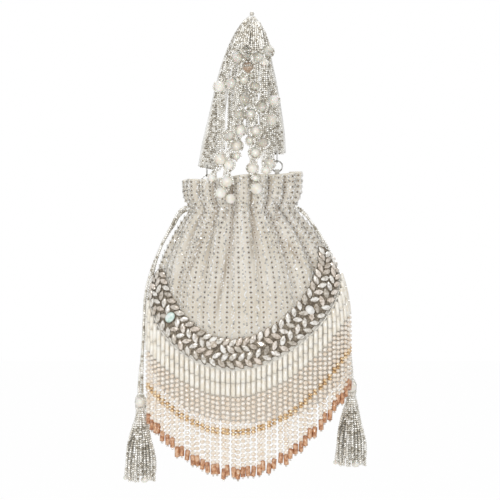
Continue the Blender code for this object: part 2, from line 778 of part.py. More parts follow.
def build_top_bead(look):
    bm = bmesh.new()
    bmesh.ops.create_uvsphere(bm, u_segments=8, v_segments=6, radius=TOP_BEAD_RADIUS)
    lift = FOLD_Z + STRAP_THICKNESS / 2 + TOP_BEAD_RADIUS + SEAT_GAP
    bmesh.ops.translate(bm, verts=bm.verts, vec=(0, 0, lift))
    return add_object("top_bead", bm, look, smooth_angle=80)


def main():
    clear_scene()
    cloth = material("cloth", (0.86, 0.82, 0.72), 0.75)
    lining = material("lining", (0.78, 0.73, 0.62), 0.85)
    silver = material("silver_beads", (0.62, 0.62, 0.6), 0.3, 0.8)
    steel = material("steel", (0.7, 0.7, 0.7), 0.25, 1.0)
    pearls = material("pearls", (0.93, 0.89, 0.82), 0.25)
    crystal = material("crystal", (0.8, 0.78, 0.75), 0.12, 0.5)
    fringe = material("fringe_beads", (0.9, 0.84, 0.72), 0.35)

    build_pouch(cloth)
    build_lining(lining)
    build_drawstring(silver)
    build_strap(silver)
    build_top_bead(silver)
    for name in STRANDS:
        build_strand(name, pearls)
    for word, end, side in (("left", LEFT_END, -1), ("right", RIGHT_END, 1)):
        build_link("link_" + word, end, steel)
        build_ring("ring_" + word, end, steel)
        build_tab("tab_" + word, end, side, cloth)
    build_band(crystal)
    build_fringe(fringe)
    for word, route in (("left", LEFT_CORD), ("right", RIGHT_CORD)):
        build_cord("drawcord_" + word, route, silver)
        build_tassel("tassel_" + word, route, silver)
        build_cap_pearl("tassel_pearl_" + word, route, pearls)


main()
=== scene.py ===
import math
import random

import bmesh
import bpy
import numpy as np
from mathutils import Matrix, Vector


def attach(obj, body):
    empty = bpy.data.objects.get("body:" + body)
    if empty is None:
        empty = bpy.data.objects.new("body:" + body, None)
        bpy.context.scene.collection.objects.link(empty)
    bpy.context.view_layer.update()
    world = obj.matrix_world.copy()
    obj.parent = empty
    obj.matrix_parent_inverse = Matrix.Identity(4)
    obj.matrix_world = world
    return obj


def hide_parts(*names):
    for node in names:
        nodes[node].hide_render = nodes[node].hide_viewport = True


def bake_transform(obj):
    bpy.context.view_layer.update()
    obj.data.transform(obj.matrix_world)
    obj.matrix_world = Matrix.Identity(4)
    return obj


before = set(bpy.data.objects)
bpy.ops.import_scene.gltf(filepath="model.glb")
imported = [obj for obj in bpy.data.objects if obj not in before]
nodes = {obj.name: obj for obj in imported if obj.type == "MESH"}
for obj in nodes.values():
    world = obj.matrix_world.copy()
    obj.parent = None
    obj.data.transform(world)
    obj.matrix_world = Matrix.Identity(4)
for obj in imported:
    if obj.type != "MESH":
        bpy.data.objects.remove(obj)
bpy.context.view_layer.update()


# Pouch
# A tube of ivory cloth, rounded at the bottom, gathered by the drawstring into eighteen folds that fade
# downwards. Above the gathers a short ruffle stands open, with its edge turned in.
RIM_Z = -0.139
NECK_Z = -0.1653
WIDEST_Z = -0.285
BOTTOM_Z = -0.354
RIM_HALF_WIDTH, RIM_HALF_DEPTH = 0.0485, 0.024
NECK_HALF_WIDTH, NECK_HALF_DEPTH = 0.0415, 0.0215
BODY_HALF_WIDTH, BODY_HALF_DEPTH = 0.0862, 0.038
NECK_X, BODY_X = -0.0087, -0.003
BODY_Y = 0.0165
RIM_TILT = 0.0035
FOLDS = 18
NECK_FOLD, RIM_FOLD = 0.0027, 0.0038
RIM_WAVE = 0.0009
BAND_LOW_Z = -0.291
BAND_RISE = 0.0492
BAND_TURN = 1.6
BAND_CENTRE = math.radians(-9)
BAND_REACH = math.radians(81)
CLOTH_THICKNESS = 0.0012
POUCH_ROWS, POUCH_COLUMNS = 100, 324


def clamped(value):
    """The value, kept between 0 and 1."""
    return min(max(value, 0), 1)


def share_down(z):
    """How far a height lies on the way from the neck, 0, to the widest girth, 1."""
    return clamped((NECK_Z - z) / (NECK_Z - WIDEST_Z))


def bag_section(z):
    """Half-width, half-depth, height of the folds and centre of the pouch at one height."""
    if z >= NECK_Z:
        rise = 1 - (1 - min((z - NECK_Z) / (RIM_Z - NECK_Z), 1)) ** 4
        half_width = NECK_HALF_WIDTH + (RIM_HALF_WIDTH - NECK_HALF_WIDTH) * rise
        half_depth = NECK_HALF_DEPTH + (RIM_HALF_DEPTH - NECK_HALF_DEPTH) * rise
        return half_width, half_depth, NECK_FOLD + (RIM_FOLD - NECK_FOLD) * rise, NECK_X
    if z >= WIDEST_Z:
        down = share_down(z)
        swell = 1 - (1 - down) ** 2.5
        half_width = NECK_HALF_WIDTH + (BODY_HALF_WIDTH - NECK_HALF_WIDTH) * swell
        half_depth = NECK_HALF_DEPTH + (BODY_HALF_DEPTH - NECK_HALF_DEPTH) * swell
        fold = NECK_FOLD * (1 - down) ** 1.3 * (1 + 1.6 * down)
        return half_width, half_depth, fold, NECK_X + (BODY_X - NECK_X) * swell
    down = min((WIDEST_Z - z) / (WIDEST_Z - BOTTOM_Z), 0.99995)
    shrink = math.sqrt(1 - down**2.4)
    return BODY_HALF_WIDTH * shrink, BODY_HALF_DEPTH * shrink, 0.0, BODY_X


def lean_back(z):
    """How far the pouch hangs behind its neck, because the fringe makes its front the heavier side."""
    return BODY_Y * (1 - (1 - share_down(z)) ** 2.5)


def fold_wave(angle, z):
    """Round ridges and narrow valleys, no two folds quite alike, from -1 to 1."""
    lean = 0.035 * math.sin(3 * angle + 1.0) * clamped((NECK_Z - z) / 0.05)
    ridge = abs(math.cos(FOLDS / 2 * (angle + lean))) ** 0.8
    uneven = 1 + 0.20 * math.sin(5 * angle + 0.7) + 0.12 * math.sin(11 * angle)
    return min(2 * ridge * uneven - 1, 1.15)


def bag_point(angle, z, offset=0.0, ripple=None):
    """A point on the cloth, or off it by the offset. The angle is 0 at the front and grows to the right."""
    half_width, half_depth, fold, centre = bag_section(z)
    lift = fold * (fold_wave(angle, z) if ripple is None else ripple) + offset
    rise = max((z - NECK_Z) / (RIM_Z - NECK_Z), 0)
    x = centre + (half_width + lift) * math.sin(angle)
    y = lean_back(z) - (half_depth + lift) * math.cos(angle)
    return Vector((x, y, z + rise * (RIM_TILT * math.sin(angle) + RIM_WAVE * math.sin(5 * angle + 1.2))))


CREASE_DEPTH = 0.0012
CREASE_WIDTH = 0.0017
CREASES = (
    ((0.0012, -0.158), (-0.0003, -0.211)),
    ((-0.0153, -0.170), (-0.0230, -0.218), (-0.0318, -0.262)),
    ((-0.0400, -0.183), (-0.0483, -0.208), (-0.0572, -0.228)),
    ((0.0185, -0.158), (0.0222, -0.180)),
    ((0.0272, -0.190), (0.0432, -0.216)),
    ((-0.0198, -0.160), (-0.0230, -0.178)),
)


def crease(angle, z):
    """How far a point lies in one of the thin creases down the front, from 0 to 1."""
    if math.cos(angle) <= 0:
        return 0.0
    half_width, _, _, centre = bag_section(z)
    x = centre + half_width * math.sin(angle)
    deepest = 0.0
    for line in CREASES:
        top, low = line[0][1], line[-1][1]
        if low < z < top:
            middle = float(np.interp(-z, [-height for _, height in line], [spot for spot, _ in line]))
            taper = math.sqrt(math.sin(math.pi * (top - z) / (top - low)))
            deepest = max(deepest, taper * math.exp(-(((x - middle) / CREASE_WIDTH) ** 2)))
    return deepest


def crumple(angle, z):
    """Soft creases that fan down from the gathers, and the slight hollows of a limp bag."""
    down = share_down(z)
    fade = math.sin(math.pi * min(down * 1.15, 1)) ** 1.2
    creases = 0.0011 * math.sin(27 * angle + 1.7 * math.sin(4 * angle)) * fade * (1 - down)
    hollows = 0.0007 * math.sin(7 * angle + 55 * z) * fade
    return creases + hollows - CREASE_DEPTH * crease(angle, z)


def cloth_point(angle, z):
    """A point on the outer face of the creased cloth."""
    return bag_point(angle, z, crumple(angle, z))


def band_height(angle):
    """Height of the middle of the crystal band, which curves in a U across the front."""
    return BAND_LOW_Z + BAND_RISE * (1 - math.cos(BAND_TURN * (angle - BAND_CENTRE)))


def under_band(angle, z):
    return abs(angle) < BAND_REACH and z < band_height(angle)


def pouch_rows(count):
    """Heights from the rim to the bottom, closer together where the outline turns fast."""
    upper = [RIM_Z + (WIDEST_Z - RIM_Z) * i / (count * 0.68) for i in range(int(count * 0.68))]
    turn = [math.pi / 2 * i / (count * 0.32) for i in range(int(count * 0.32))]
    lower = [WIDEST_Z + (BOTTOM_Z - WIDEST_Z) * math.sin(t) ** 0.9 for t in turn]
    return upper + lower


def even_turns(count):
    """Angles evenly round a full turn."""
    return [2 * math.pi * i / count for i in range(count)]


def from_front(turn):
    """The same direction, counted from the front to -180 or 180 degrees."""
    return turn - 2 * math.pi if turn > math.pi else turn


def length_of(points):
    return sum((b - a).length for a, b in zip(points, points[1:]))


def added(name, mesh):
    """A new object in the scene with this mesh."""
    item = bpy.data.objects.new(name, mesh)
    bpy.context.collection.objects.link(item)
    return item


def smooth_mesh(name, bm):
    """The faces made so far as one smooth mesh whose normals face out."""
    bmesh.ops.recalc_face_normals(bm, faces=bm.faces)
    mesh = bpy.data.meshes.new(name)
    bm.to_mesh(mesh)
    bm.free()
    mesh.shade_smooth()
    return mesh


def lofted_shell(name, rows, columns, place):
    """A cloth tube with a closed bottom. Its UV map holds the share of a turn, and metres down the cloth."""
    bm = bmesh.new()
    layers = [[bm.verts.new(place(turn, z)) for turn in even_turns(columns)] for z in rows]
    uv = bm.loops.layers.uv.new("cloth")
    run = [0.0]
    for above, below in zip(layers, layers[1:]):
        run.append(run[-1] + (above[0].co - below[0].co).length)
    for r in range(len(rows) - 1):
        for i in range(columns):
            j = (i + 1) % columns
            face = bm.faces.new((layers[r][i], layers[r + 1][i], layers[r + 1][j], layers[r][j]))
            for loop, (c, k) in zip(face.loops, ((i, r), (i, r + 1), (i + 1, r + 1), (i + 1, r))):
                loop[uv].uv = (c / columns, run[k])
    tip = bm.verts.new(sum((v.co for v in layers[-1]), Vector()) / columns)
    for i in range(columns):
        face = bm.faces.new((layers[-1][i], tip, layers[-1][(i + 1) % columns]))
        for loop in face.loops:
            loop[uv].uv = (i / columns, run[-1])
    return added(name, smooth_mesh(name, bm))


def thicken(item, thickness):
    """Gives a cloth its thickness, on the inside."""
    wall = item.modifiers.new("cloth wall", "SOLIDIFY")
    wall.thickness = thickness
    wall.offset = -1


pouch_cloth = lofted_shell("pouch_cloth", pouch_rows(POUCH_ROWS), POUCH_COLUMNS, cloth_point)
# Painted shade: the fold shade share darkens the cloth in the valleys of the gathers, most near the neck, and
# in the creases down the front.
valleys, unprinted_and_lit = [], []
for z in pouch_rows(POUCH_ROWS):
    for angle in map(from_front, even_turns(POUCH_COLUMNS)):
        gather_shade = clamped(0.15 - fold_wave(angle, z)) * (1 - share_down(z)) ** 2.2
        valleys.append(max(gather_shade, 0.85 * crease(angle, z)))
        unprinted_and_lit.append(float(under_band(angle, z)))
# The plain share marks the unprinted cloth under the band, where painted light also brightens the cloth.
for name, values in (("valley", valleys + [0.0]), ("plain", unprinted_and_lit + [0.0])):
    pouch_cloth.data.attributes.new(name, "FLOAT", "POINT").data.foreach_set("value", values)
thicken(pouch_cloth, CLOTH_THICKNESS)


def add_node(tree, kind, feeds=(), **settings):
    """Adds a node to a tree, with its settings, and joins each feed to its input or sets it there."""
    node = tree.nodes.new(kind)
    for key, value in settings.items():
        setattr(node, key, value)
    for key, value in dict(feeds).items():
        if isinstance(value, bpy.types.NodeSocket):
            tree.links.new(value, node.inputs[key])
        else:
            node.inputs[key].default_value = value
    return node


class Finish:
    """One procedural material: its nodes, and short ways to add noise, ramps and bumps to it."""

    def __init__(self, name, colour, roughness, metallic=0.0, coat=0.0):
        self.material = bpy.data.materials.new(name)
        self.material.use_nodes = True
        self.tree = self.material.node_tree
        self.shader = self.tree.nodes["Principled BSDF"]
        self.set("Base Color", (*colour, 1))
        self.set("Roughness", roughness)
        self.set("Metallic", metallic)
        self.set("Coat Weight", coat)
        self.place = self.add("ShaderNodeTexCoord").outputs["Object"]

    def add(self, kind, feeds=(), **settings):
        return add_node(self.tree, kind, feeds, **settings)

    def set(self, socket, value):
        self.shader.inputs[socket].default_value = value

    def join(self, source, socket):
        self.tree.links.new(source, self.shader.inputs[socket])

    def attribute(self, name):
        return self.add("ShaderNodeAttribute", attribute_name=name).outputs["Fac"]

    def noise(self, scale, detail=2.0):
        feeds = {"Scale": scale, "Detail": detail, "Vector": self.place}
        return self.add("ShaderNodeTexNoise", feeds).outputs["Fac"]

    def math(self, operation, first, second=0.0, third=0.0):
        return self.add("ShaderNodeMath", {0: first, 1: second, 2: third}, operation=operation).outputs[0]

    def ramp(self, source, *stops):
        node = self.add("ShaderNodeValToRGB", {"Fac": source})
        while len(node.color_ramp.elements) < len(stops):
            node.color_ramp.elements.new(0.5)
        for element, (position, colour) in zip(node.color_ramp.elements, stops):
            element.position = position
            element.color = (*colour, 1)
        return node.outputs["Color"]

    def mix(self, share, first, second, blend="MIX"):
        second = (*second, 1) if isinstance(second, tuple) else second
        feeds = {0: share, 6: first, 7: second}
        return self.add("ShaderNodeMix", feeds, data_type="RGBA", blend_type=blend).outputs[2]

    def colour(self, source):
        self.join(source, "Base Color")

    def mottle(self, scale, *stops, detail=2.0):
        """Colour that wanders from stop to stop with a noise."""
        self.colour(self.ramp(self.noise(scale, detail), *stops))

    def rough(self, source, low, high):
        feeds = {"Value": source, "To Min": low, "To Max": high}
        self.join(self.add("ShaderNodeMapRange", feeds).outputs["Result"], "Roughness")

    def bump(self, source, depth, strength=1.0):
        feeds = {"Height": source, "Distance": depth, "Strength": strength}
        self.join(self.add("ShaderNodeBump", feeds).outputs["Normal"], "Normal")

    def cover(self, item):
        """Puts the material on an object, in place of any that it has."""
        item.data.materials.clear()
        item.data.materials.append(self.material)


MOTIFS_AROUND = 100
MOTIF_PITCH = 0.0043
WEAVE_PITCH = 0.0007
WEAVE_ROUND = 0.42
IVORY = (0.80, 0.74, 0.62)
# A paler ivory: painted light on the unprinted cloth under the band.
PAINTED_LIGHT_IVORY = (0.97, 0.94, 0.88)
RING_IVORY = (0.93, 0.91, 0.86)
VALLEY_TAUPE = (0.50, 0.41, 0.31)
# Brown of the painted shade in the fold valleys and creases.
FOLD_SHADE_BROWN = (0.30, 0.22, 0.14)
DOT_BROWN = (0.26, 0.17, 0.08)


def cloth_finish(name, dotted):
    """Ivory plain weave with a soft sheen; the outside has upright rows of small brown dots in pale rings."""
    finish = Finish(name, IVORY, 0.7)
    finish.set("Sheen Weight", 0.25)
    finish.set("Sheen Roughness", 0.4)
    calc = finish.math
    spot = finish.add("ShaderNodeUVMap", uv_map="cloth").outputs["UV"]
    across, down, _ = finish.add("ShaderNodeSeparateXYZ", {0: spot}).outputs
    warp = calc("SINE", calc("MULTIPLY", across, 2 * math.pi * WEAVE_ROUND / WEAVE_PITCH))
    weft = calc("SINE", calc("MULTIPLY", down, 2 * math.pi / WEAVE_PITCH))
    weave = calc("MULTIPLY", warp, weft)
    patches = finish.noise(38, 3)
    base = finish.ramp(patches, (0.3, (0.75, 0.69, 0.58)), (0.7, (0.87, 0.83, 0.75)))
    base = finish.mix(calc("MULTIPLY_ADD", weave, 0.12, 0.12), base, VALLEY_TAUPE)
    if dotted:
        cell_x = calc("SUBTRACT", calc("FRACT", calc("MULTIPLY", across, MOTIFS_AROUND / 2)), 0.25)
        cell_x = calc("MULTIPLY", cell_x, 2.0)
        cell_y = calc("SUBTRACT", calc("FRACT", calc("DIVIDE", down, MOTIF_PITCH)), 0.5)
        reach = calc("SQRT", calc("ADD", calc("POWER", cell_x, 2.0), calc("POWER", cell_y, 2.0)))
        ring = calc("MULTIPLY", calc("COMPARE", reach, 0.30, 0.10), 0.5)
        dot = calc("MULTIPLY", calc("LESS_THAN", reach, 0.15), 0.75)
        plain = finish.attribute("plain")
        printed = calc("SUBTRACT", 1.0, plain)
        # Painted shade: the cloth turns darker brown in the valleys of the gathers and in the creases.
        base = finish.mix(calc("MULTIPLY", finish.attribute("valley"), 0.85), base, FOLD_SHADE_BROWN)
        # Painted light: the unprinted cloth under the band, which the fringe shades, is brightened towards a
        # paler ivory.
        base = finish.mix(calc("MULTIPLY", plain, 0.85), base, PAINTED_LIGHT_IVORY)
        base = finish.mix(calc("MULTIPLY", printed, ring), base, RING_IVORY)
        base = finish.mix(calc("MULTIPLY", printed, dot), base, DOT_BROWN)
    finish.colour(base)
    finish.rough(patches, 0.6, 0.8)
    finish.bump(weave, 0.00012, 0.6)
    return finish


cloth_finish("ivory cloth, dotted", True).cover(pouch_cloth)


def polyline_tubes(name, lines, radius, sides, closed=False):
    """Round threads of one thickness along lines of points, as one mesh."""
    bm = bmesh.new()
    for line in lines:
        count = len(line)
        rings = []
        for i, point in enumerate(line):
            before = line[i - 1] if i or closed else line[0]
            after = line[(i + 1) % count] if i + 1 < count or closed else line[-1]
            along = (after - before).normalized()
            side = (side - along * side.dot(along) if rings else along.orthogonal()).normalized()
            other = along.cross(side)
            ring = [point + radius * (side * math.cos(t) + other * math.sin(t)) for t in even_turns(sides)]
            rings.append([bm.verts.new(spot) for spot in ring])
        for low, high in zip(rings, rings[1:] + (rings[:1] if closed else [])):
            shift = 0
            if closed and high is rings[0]:
                shift = min(range(sides), key=lambda s: (high[s].co - low[0].co).length)
            for k in range(sides):
                m = (k + 1) % sides
                bm.faces.new((low[k], low[m], high[(m + shift) % sides], high[(k + shift) % sides]))
        if not closed:
            bm.faces.new(rings[0][::-1])
            bm.faces.new(rings[-1])
    return added(name, smooth_mesh(name, bm))


HEM_RADIUS = 0.00085
rim_line = [bag_point(turn, RIM_Z, -CLOTH_THICKNESS / 2) for turn in even_turns(POUCH_COLUMNS)]
rim_hem = polyline_tubes("rim_hem", [rim_line], HEM_RADIUS, 6, True)
hem_thread = Finish("pale hem", (0.86, 0.82, 0.73), 0.6)
hem_thread.mottle(900, (0.4, (0.74, 0.68, 0.56)), (0.6, (0.90, 0.87, 0.79)))
hem_thread.cover(rim_hem)
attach(rim_hem, "bag")
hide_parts("pouch")
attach(pouch_cloth, "bag")


# Embroidery
# Upright rows of small brown glass beads, each in a ring of pale cut beads, take turns with rows of clear and
# silvery cut beads on the front, above the band. The back has the printed dots alone.
def bead_group(name, **inputs):
    """A new tree that takes points, a bead, a seed, a material and the named inputs, and what it is given."""
    tree = bpy.data.node_groups.new(name, "GeometryNodeTree")
    kinds = {"Geometry": "Geometry", "Bead": "Object", **inputs, "Seed": "Int", "Finish": "Material"}
    for socket, kind in kinds.items():
        tree.interface.new_socket(socket, in_out="INPUT", socket_type="NodeSocket" + kind)
    tree.interface.new_socket("Geometry", in_out="OUTPUT", socket_type="NodeSocketGeometry")
    return tree, tree.nodes.new("NodeGroupInput").outputs


def random_number(tree, seed):
    """A node that draws a number for each point, with its lowest, its highest and the drawn value."""
    node = add_node(tree, "FunctionNodeRandomValue", {"Seed": seed})
    lowest, highest = [socket for socket in node.inputs if socket.type == "VALUE"][:2]
    drawn = [socket for socket in node.outputs if socket.type == "VALUE"][0]
    return lowest, highest, drawn


def set_beads(tree, given, points, rotation, size):
    """The last steps of both trees: a bead on every point, made real, in its own material."""
    bead = add_node(tree, "GeometryNodeObjectInfo", {"Object": given["Bead"]}).outputs["Geometry"]
    feeds = {"Points": points, "Instance": bead, "Rotation": rotation, "Scale": size}
    placed = add_node(tree, "GeometryNodeInstanceOnPoints", feeds).outputs["Instances"]
    real = add_node(tree, "GeometryNodeRealizeInstances", {"Geometry": placed}).outputs["Geometry"]
    painted = add_node(tree, "GeometryNodeSetMaterial", {"Geometry": real, "Material": given["Finish"]})
    add_node(tree, "NodeGroupOutput", {"Geometry": painted.outputs["Geometry"]})


def bead_tree():
    """Sews one bead on every point, turned to face out of the cloth, and along it where that is given."""
    tree, given = bead_group("sew beads", Size="Float", Unevenness="Float")
    out, way = [
        add_node(tree, "GeometryNodeInputNamedAttribute", {"Name": name}, data_type="FLOAT_VECTOR")
        for name in ("out", "along")]
    turn = add_node(tree, "FunctionNodeAlignRotationToVector", {"Vector": out.outputs["Attribute"]}, axis="Z")
    feeds = {"Rotation": turn.outputs["Rotation"], "Vector": way.outputs["Attribute"]}
    swing = add_node(tree, "FunctionNodeAlignRotationToVector", feeds, axis="X", pivot_axis="Z")
    lowest, highest, size = random_number(tree, given["Seed"])
    for operation, edge in (("SUBTRACT", lowest), ("ADD", highest)):
        feeds = {0: given["Size"], 1: given["Unevenness"]}
        tree.links.new(add_node(tree, "ShaderNodeMath", feeds, operation=operation).outputs[0], edge)
    set_beads(tree, given, given["Geometry"], swing.outputs["Rotation"], size)
    return tree


def grow(item, tree, **inputs):
    """Runs a tree on an object with the named inputs, and keeps the result as its plain mesh."""
    growth = item.modifiers.new("beads", "NODES")
    growth.node_group = tree
    for socket in tree.interface.items_tree:
        if socket.in_out == "INPUT" and socket.name in inputs:
            growth[socket.identifier] = inputs[socket.name]
    bpy.context.view_layer.update()
    seen = item.evaluated_get(bpy.context.evaluated_depsgraph_get())
    mesh = bpy.data.meshes.new_from_object(seen)
    item.modifiers.remove(growth)
    item.data = mesh
    mesh.shade_smooth()
    return item


def points_mesh(name, spots, ways, lies=None, tints=None):
    """Bare points, each with the direction that its bead faces, and if given its lie and its tint."""
    mesh = bpy.data.meshes.new(name)
    mesh.from_pydata([tuple(spot) for spot in spots], [], [])
    for label, vectors in (("out", ways), ("along", lies)):
        if vectors:
            attribute = mesh.attributes.new(label, "FLOAT_VECTOR", "POINT")
            attribute.data.foreach_set("vector", [c for vector in vectors for c in vector])
    if tints:
        mesh.attributes.new("tint", "FLOAT", "POINT").data.foreach_set("value", tints)
    return added(name, mesh)


def ring_skin(name, rings, closed=False, cut=False):
    """A mesh over rings of points, in quads or cut into triangles, with capped ends unless it is closed."""
    bm = bmesh.new()
    loops = [[bm.verts.new(p) for p in ring] for ring in rings]
    for low, high in zip(loops, loops[1:] + (loops[:1] if closed else [])):
        for i in range(len(low)):
            j = (i + 1) % len(low)
            quad = (low[i], low[j], high[j], high[i])
            for corners in (quad[:3], (quad[0], *quad[2:])) if cut else (quad,):
                bm.faces.new(corners)
    if not closed:
        bm.faces.new(loops[0][::-1])
        bm.faces.new(loops[-1])
    return smooth_mesh(name, bm)


def bead_shape(name, profile, sides):
    """A bead turned about Z from its outline of radii and heights. It is a pattern only, and not shown."""
    rings = [[(r * math.cos(t), r * math.sin(t), height) for t in even_turns(sides)] for r, height in profile]
    return bpy.data.objects.new(name, ring_skin(name, rings))


def flat_ring_shape(name, radius, thickness, around):
    """A ring of beads seen as one low ring that lies on the cloth."""
    rings = []
    for turn in even_turns(around):
        way = Vector((math.cos(turn), math.sin(turn), 0))
        crown = way * radius + Vector((0, 0, thickness * 0.75))
        rings.append([way * (radius - thickness / 2), crown, way * (radius + thickness / 2)])
    return bpy.data.objects.new(name, ring_skin(name, rings, closed=True))


sew_beads = bead_tree()


def sewn(name, spots, ways, finish, lies=None, tints=None, **inputs):
    """One piece of beads sewn on the spots. The other inputs are those of the sewing tree."""
    return grow(points_mesh(name, spots, ways, lies, tints), sew_beads, Finish=finish.material, **inputs)


FRONT_REACH = math.radians(96)
SEWING_SLIP = 0.0002
GLINT_ROW = 4
dice = random.Random(21)
motif_spots, motif_ways = [], []
glint_spots, glint_ways, glint_tints = [], [], []
cloth_run = [0.0]
cloth_rows = pouch_rows(POUCH_ROWS)
side_line = [cloth_point(0, z) for z in cloth_rows]
for above, below in zip(side_line, side_line[1:]):
    cloth_run.append(cloth_run[-1] + (above - below).length)
for row in range(int(cloth_run[-1] / MOTIF_PITCH) - 3):
    z = float(np.interp((row + 0.5) * MOTIF_PITCH, cloth_run, cloth_rows))
    for column in range(MOTIFS_AROUND):
        angle = from_front(2 * math.pi * (column + 0.5) / MOTIFS_AROUND)
        if abs(angle) > FRONT_REACH or under_band(angle, z):
            continue
        here = cloth_point(angle, z)
        over = cloth_point(angle + 0.004, z) - here
        up = cloth_point(angle, z + 0.0005) - here
        facing = over.cross(up).normalized()
        if column % 2 == 0:
            motif_spots.append(here + over.normalized() * dice.uniform(-SEWING_SLIP, SEWING_SLIP))
            motif_ways.append(facing)
            continue
        for k in range(GLINT_ROW):
            aside = over.normalized() * dice.uniform(-0.0016, 0.0016)
            rise = (k / GLINT_ROW - 0.35) * MOTIF_PITCH + dice.uniform(-SEWING_SLIP, SEWING_SLIP)
            glint_spots.append(here + aside + Vector((0, 0, rise)))
            tilt = Vector((dice.uniform(-0.3, 0.3), 0, dice.uniform(-0.3, 0.3)))
            glint_ways.append((facing + tilt).normalized())
            glint_tints.append(dice.random())

dark_glass = Finish("brown glass", (0.22, 0.15, 0.07), 0.4, coat=0.15)
dark_glass.mottle(160, (0.4, (0.11, 0.065, 0.03)), (0.52, (0.25, 0.165, 0.08)), (0.64, (0.44, 0.33, 0.20)))
# The cut beads' tints run from dark grey to white: partly the clear and silvery glass itself, partly painted
# glints on the palest beads.
clear_glass = Finish("clear and silvery cut glass", (0.84, 0.83, 0.80), 0.12, coat=1.0)
clear_glass.colour(clear_glass.ramp(
    clear_glass.attribute("tint"), (0.0, (0.30, 0.29, 0.27)), (0.25, (0.55, 0.54, 0.51)),
    (0.45, (0.86, 0.85, 0.82)), (0.85, (1.0, 1.0, 1.0)), (1.0, (0.74, 0.68, 0.55))))
pale_glass = Finish("pale cut glass", (0.80, 0.77, 0.70), 0.18, coat=0.8)
pale_glass.mottle(700, (0.35, (0.55, 0.53, 0.48)), (0.5, (0.80, 0.77, 0.70)), (0.68, (0.95, 0.94, 0.92)))
dot_shape = bead_shape("dot bead shape", [(0.55, -0.1), (0.95, 0.35), (0.5, 0.85)], 6)
ring_shape = flat_ring_shape("ring bead shape", 1.0, 0.62, 7)
cut_shape = bead_shape("cut bead shape", [(0.75, -0.1), (1.0, 0.3), (0.55, 0.8)], 5)
sewn_dots = sewn("sewn_dots", motif_spots, motif_ways, dark_glass,
                 Bead=dot_shape, Size=0.00064, Unevenness=0.00012, Seed=3)
sewn_rings = sewn("sewn_rings", motif_spots, motif_ways, pale_glass,
                  Bead=ring_shape, Size=0.00125, Unevenness=0.00018, Seed=5)
sewn_glints = sewn("sewn_glints", glint_spots, glint_ways, clear_glass, tints=glint_tints,
                   Bead=cut_shape, Size=0.00082, Unevenness=0.00022, Seed=7)
sewn_glints.data.shade_flat()
for item in (sewn_dots, sewn_rings, sewn_glints):
    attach(item, "bag")


# Lining
# A thinner inner bag of plain cloth, seen only down the mouth. Its collar stands inside the ruffle, above
# the drawstring, and the rest follows the pouch.
STRING_RADIUS = 0.0012
LINING_GAP = 0.0005
LINING_THICKNESS = 0.0008
LINING_TOP_RISE = 0.008


def lining_point(angle, z):
    """A point on the lining's outer face: the pouch's own shape, set inward square to its slope."""
    down = share_down(z)
    string_room = (2 * STRING_RADIUS + LINING_GAP) * (1 - down) ** 4
    inset = bag_section(min(z, NECK_Z))[2] + CLOTH_THICKNESS + LINING_GAP + string_room
    soft = 0.0004 * math.sin(FOLDS * angle) * (1 - down)
    step = 0.0005
    slope = (bag_section(z + step)[0] - bag_section(z - step)[0]) / (2 * step) if z < WIDEST_Z else 0
    lean = math.atan(slope)
    point = bag_point(angle, min(z, NECK_Z), (soft - inset) * math.cos(lean), 0)
    point.z += inset * math.sin(lean) + max(z - NECK_Z, 0)
    return point


collar_rows = [NECK_Z + LINING_TOP_RISE, NECK_Z + LINING_TOP_RISE / 2]
lining_rows = collar_rows + [z for z in pouch_rows(60) if z < NECK_Z]
lining_cloth = lofted_shell("lining_cloth", lining_rows, 180, lining_point)
thicken(lining_cloth, LINING_THICKNESS)
cloth_finish("plain lining cloth", False).cover(lining_cloth)
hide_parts("lining")
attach(lining_cloth, "bag")


# Drawstring
# A twisted cord that runs round inside the neck between the cloth and the lining, and gathers both. Its two
# strands are laid round each other.
def twisted_ring_lines(strands, turns, count):
    inset = -(bag_section(NECK_Z)[2] + CLOTH_THICKNESS + LINING_GAP + STRING_RADIUS)
    lines = []
    for start in even_turns(strands):
        line = []
        for around_neck in even_turns(count):
            twist = turns * around_neck + start
            inward = inset + 0.5 * STRING_RADIUS * math.cos(twist)
            rise = Vector((0, 0, 0.5 * STRING_RADIUS * math.sin(twist)))
            line.append(bag_point(around_neck, NECK_Z, inward, 0) + rise)
        lines.append(line)
    return lines


neck_lines = twisted_ring_lines(2, 60, 480)
drawstring_cord = polyline_tubes("drawstring_cord", neck_lines, 0.5 * STRING_RADIUS, 6, True)
silk = Finish("grey cord silk", (0.64, 0.61, 0.56), 0.5)
silk.rough(silk.noise(1500), 0.4, 0.65)
silk.cover(drawstring_cord)
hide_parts("drawstring")
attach(drawstring_cord, "bag")


# Strap
# A flat band of grey cloth, folded over at the top, where it is seen on its edge. Its face is covered with
# rows of silver-lined seed beads, and a pale piping is stitched along both edges.
STRAP_WIDTH = 0.015
STRAP_THICKNESS = 0.0018
BAND_SHARE, PIPING_SHARE, BEADED_SHARE = 0.47, 0.455, 0.78
OPENNESS_SCALE = 1000
STRAP_STATIONS = [
    (-0.0392, 1.0, -0.1305),
    (-0.0355, 1.0, -0.110),
    (-0.0300, 0.85, -0.082),
    (-0.0262, 0.7, -0.060),
    (-0.0220, 0.5, -0.040),
    (-0.0165, 0.3, -0.022),
    (-0.0085, 0.1, -0.006),
    (0.0000, 0.0, 0.0002),
    (0.0065, 0.1, -0.007),
    (0.0105, 0.4, -0.022),
    (0.0130, 0.6, -0.040),
    (0.0158, 0.8, -0.060),
    (0.0185, 0.95, -0.082),
    (0.0208, 1.0, -0.102),
    (0.0218, 1.0, -0.1183),
]
LINK_HOLES = (Vector((-0.0392, 0, -0.1278)), Vector((0.0218, 0, -0.1156)))


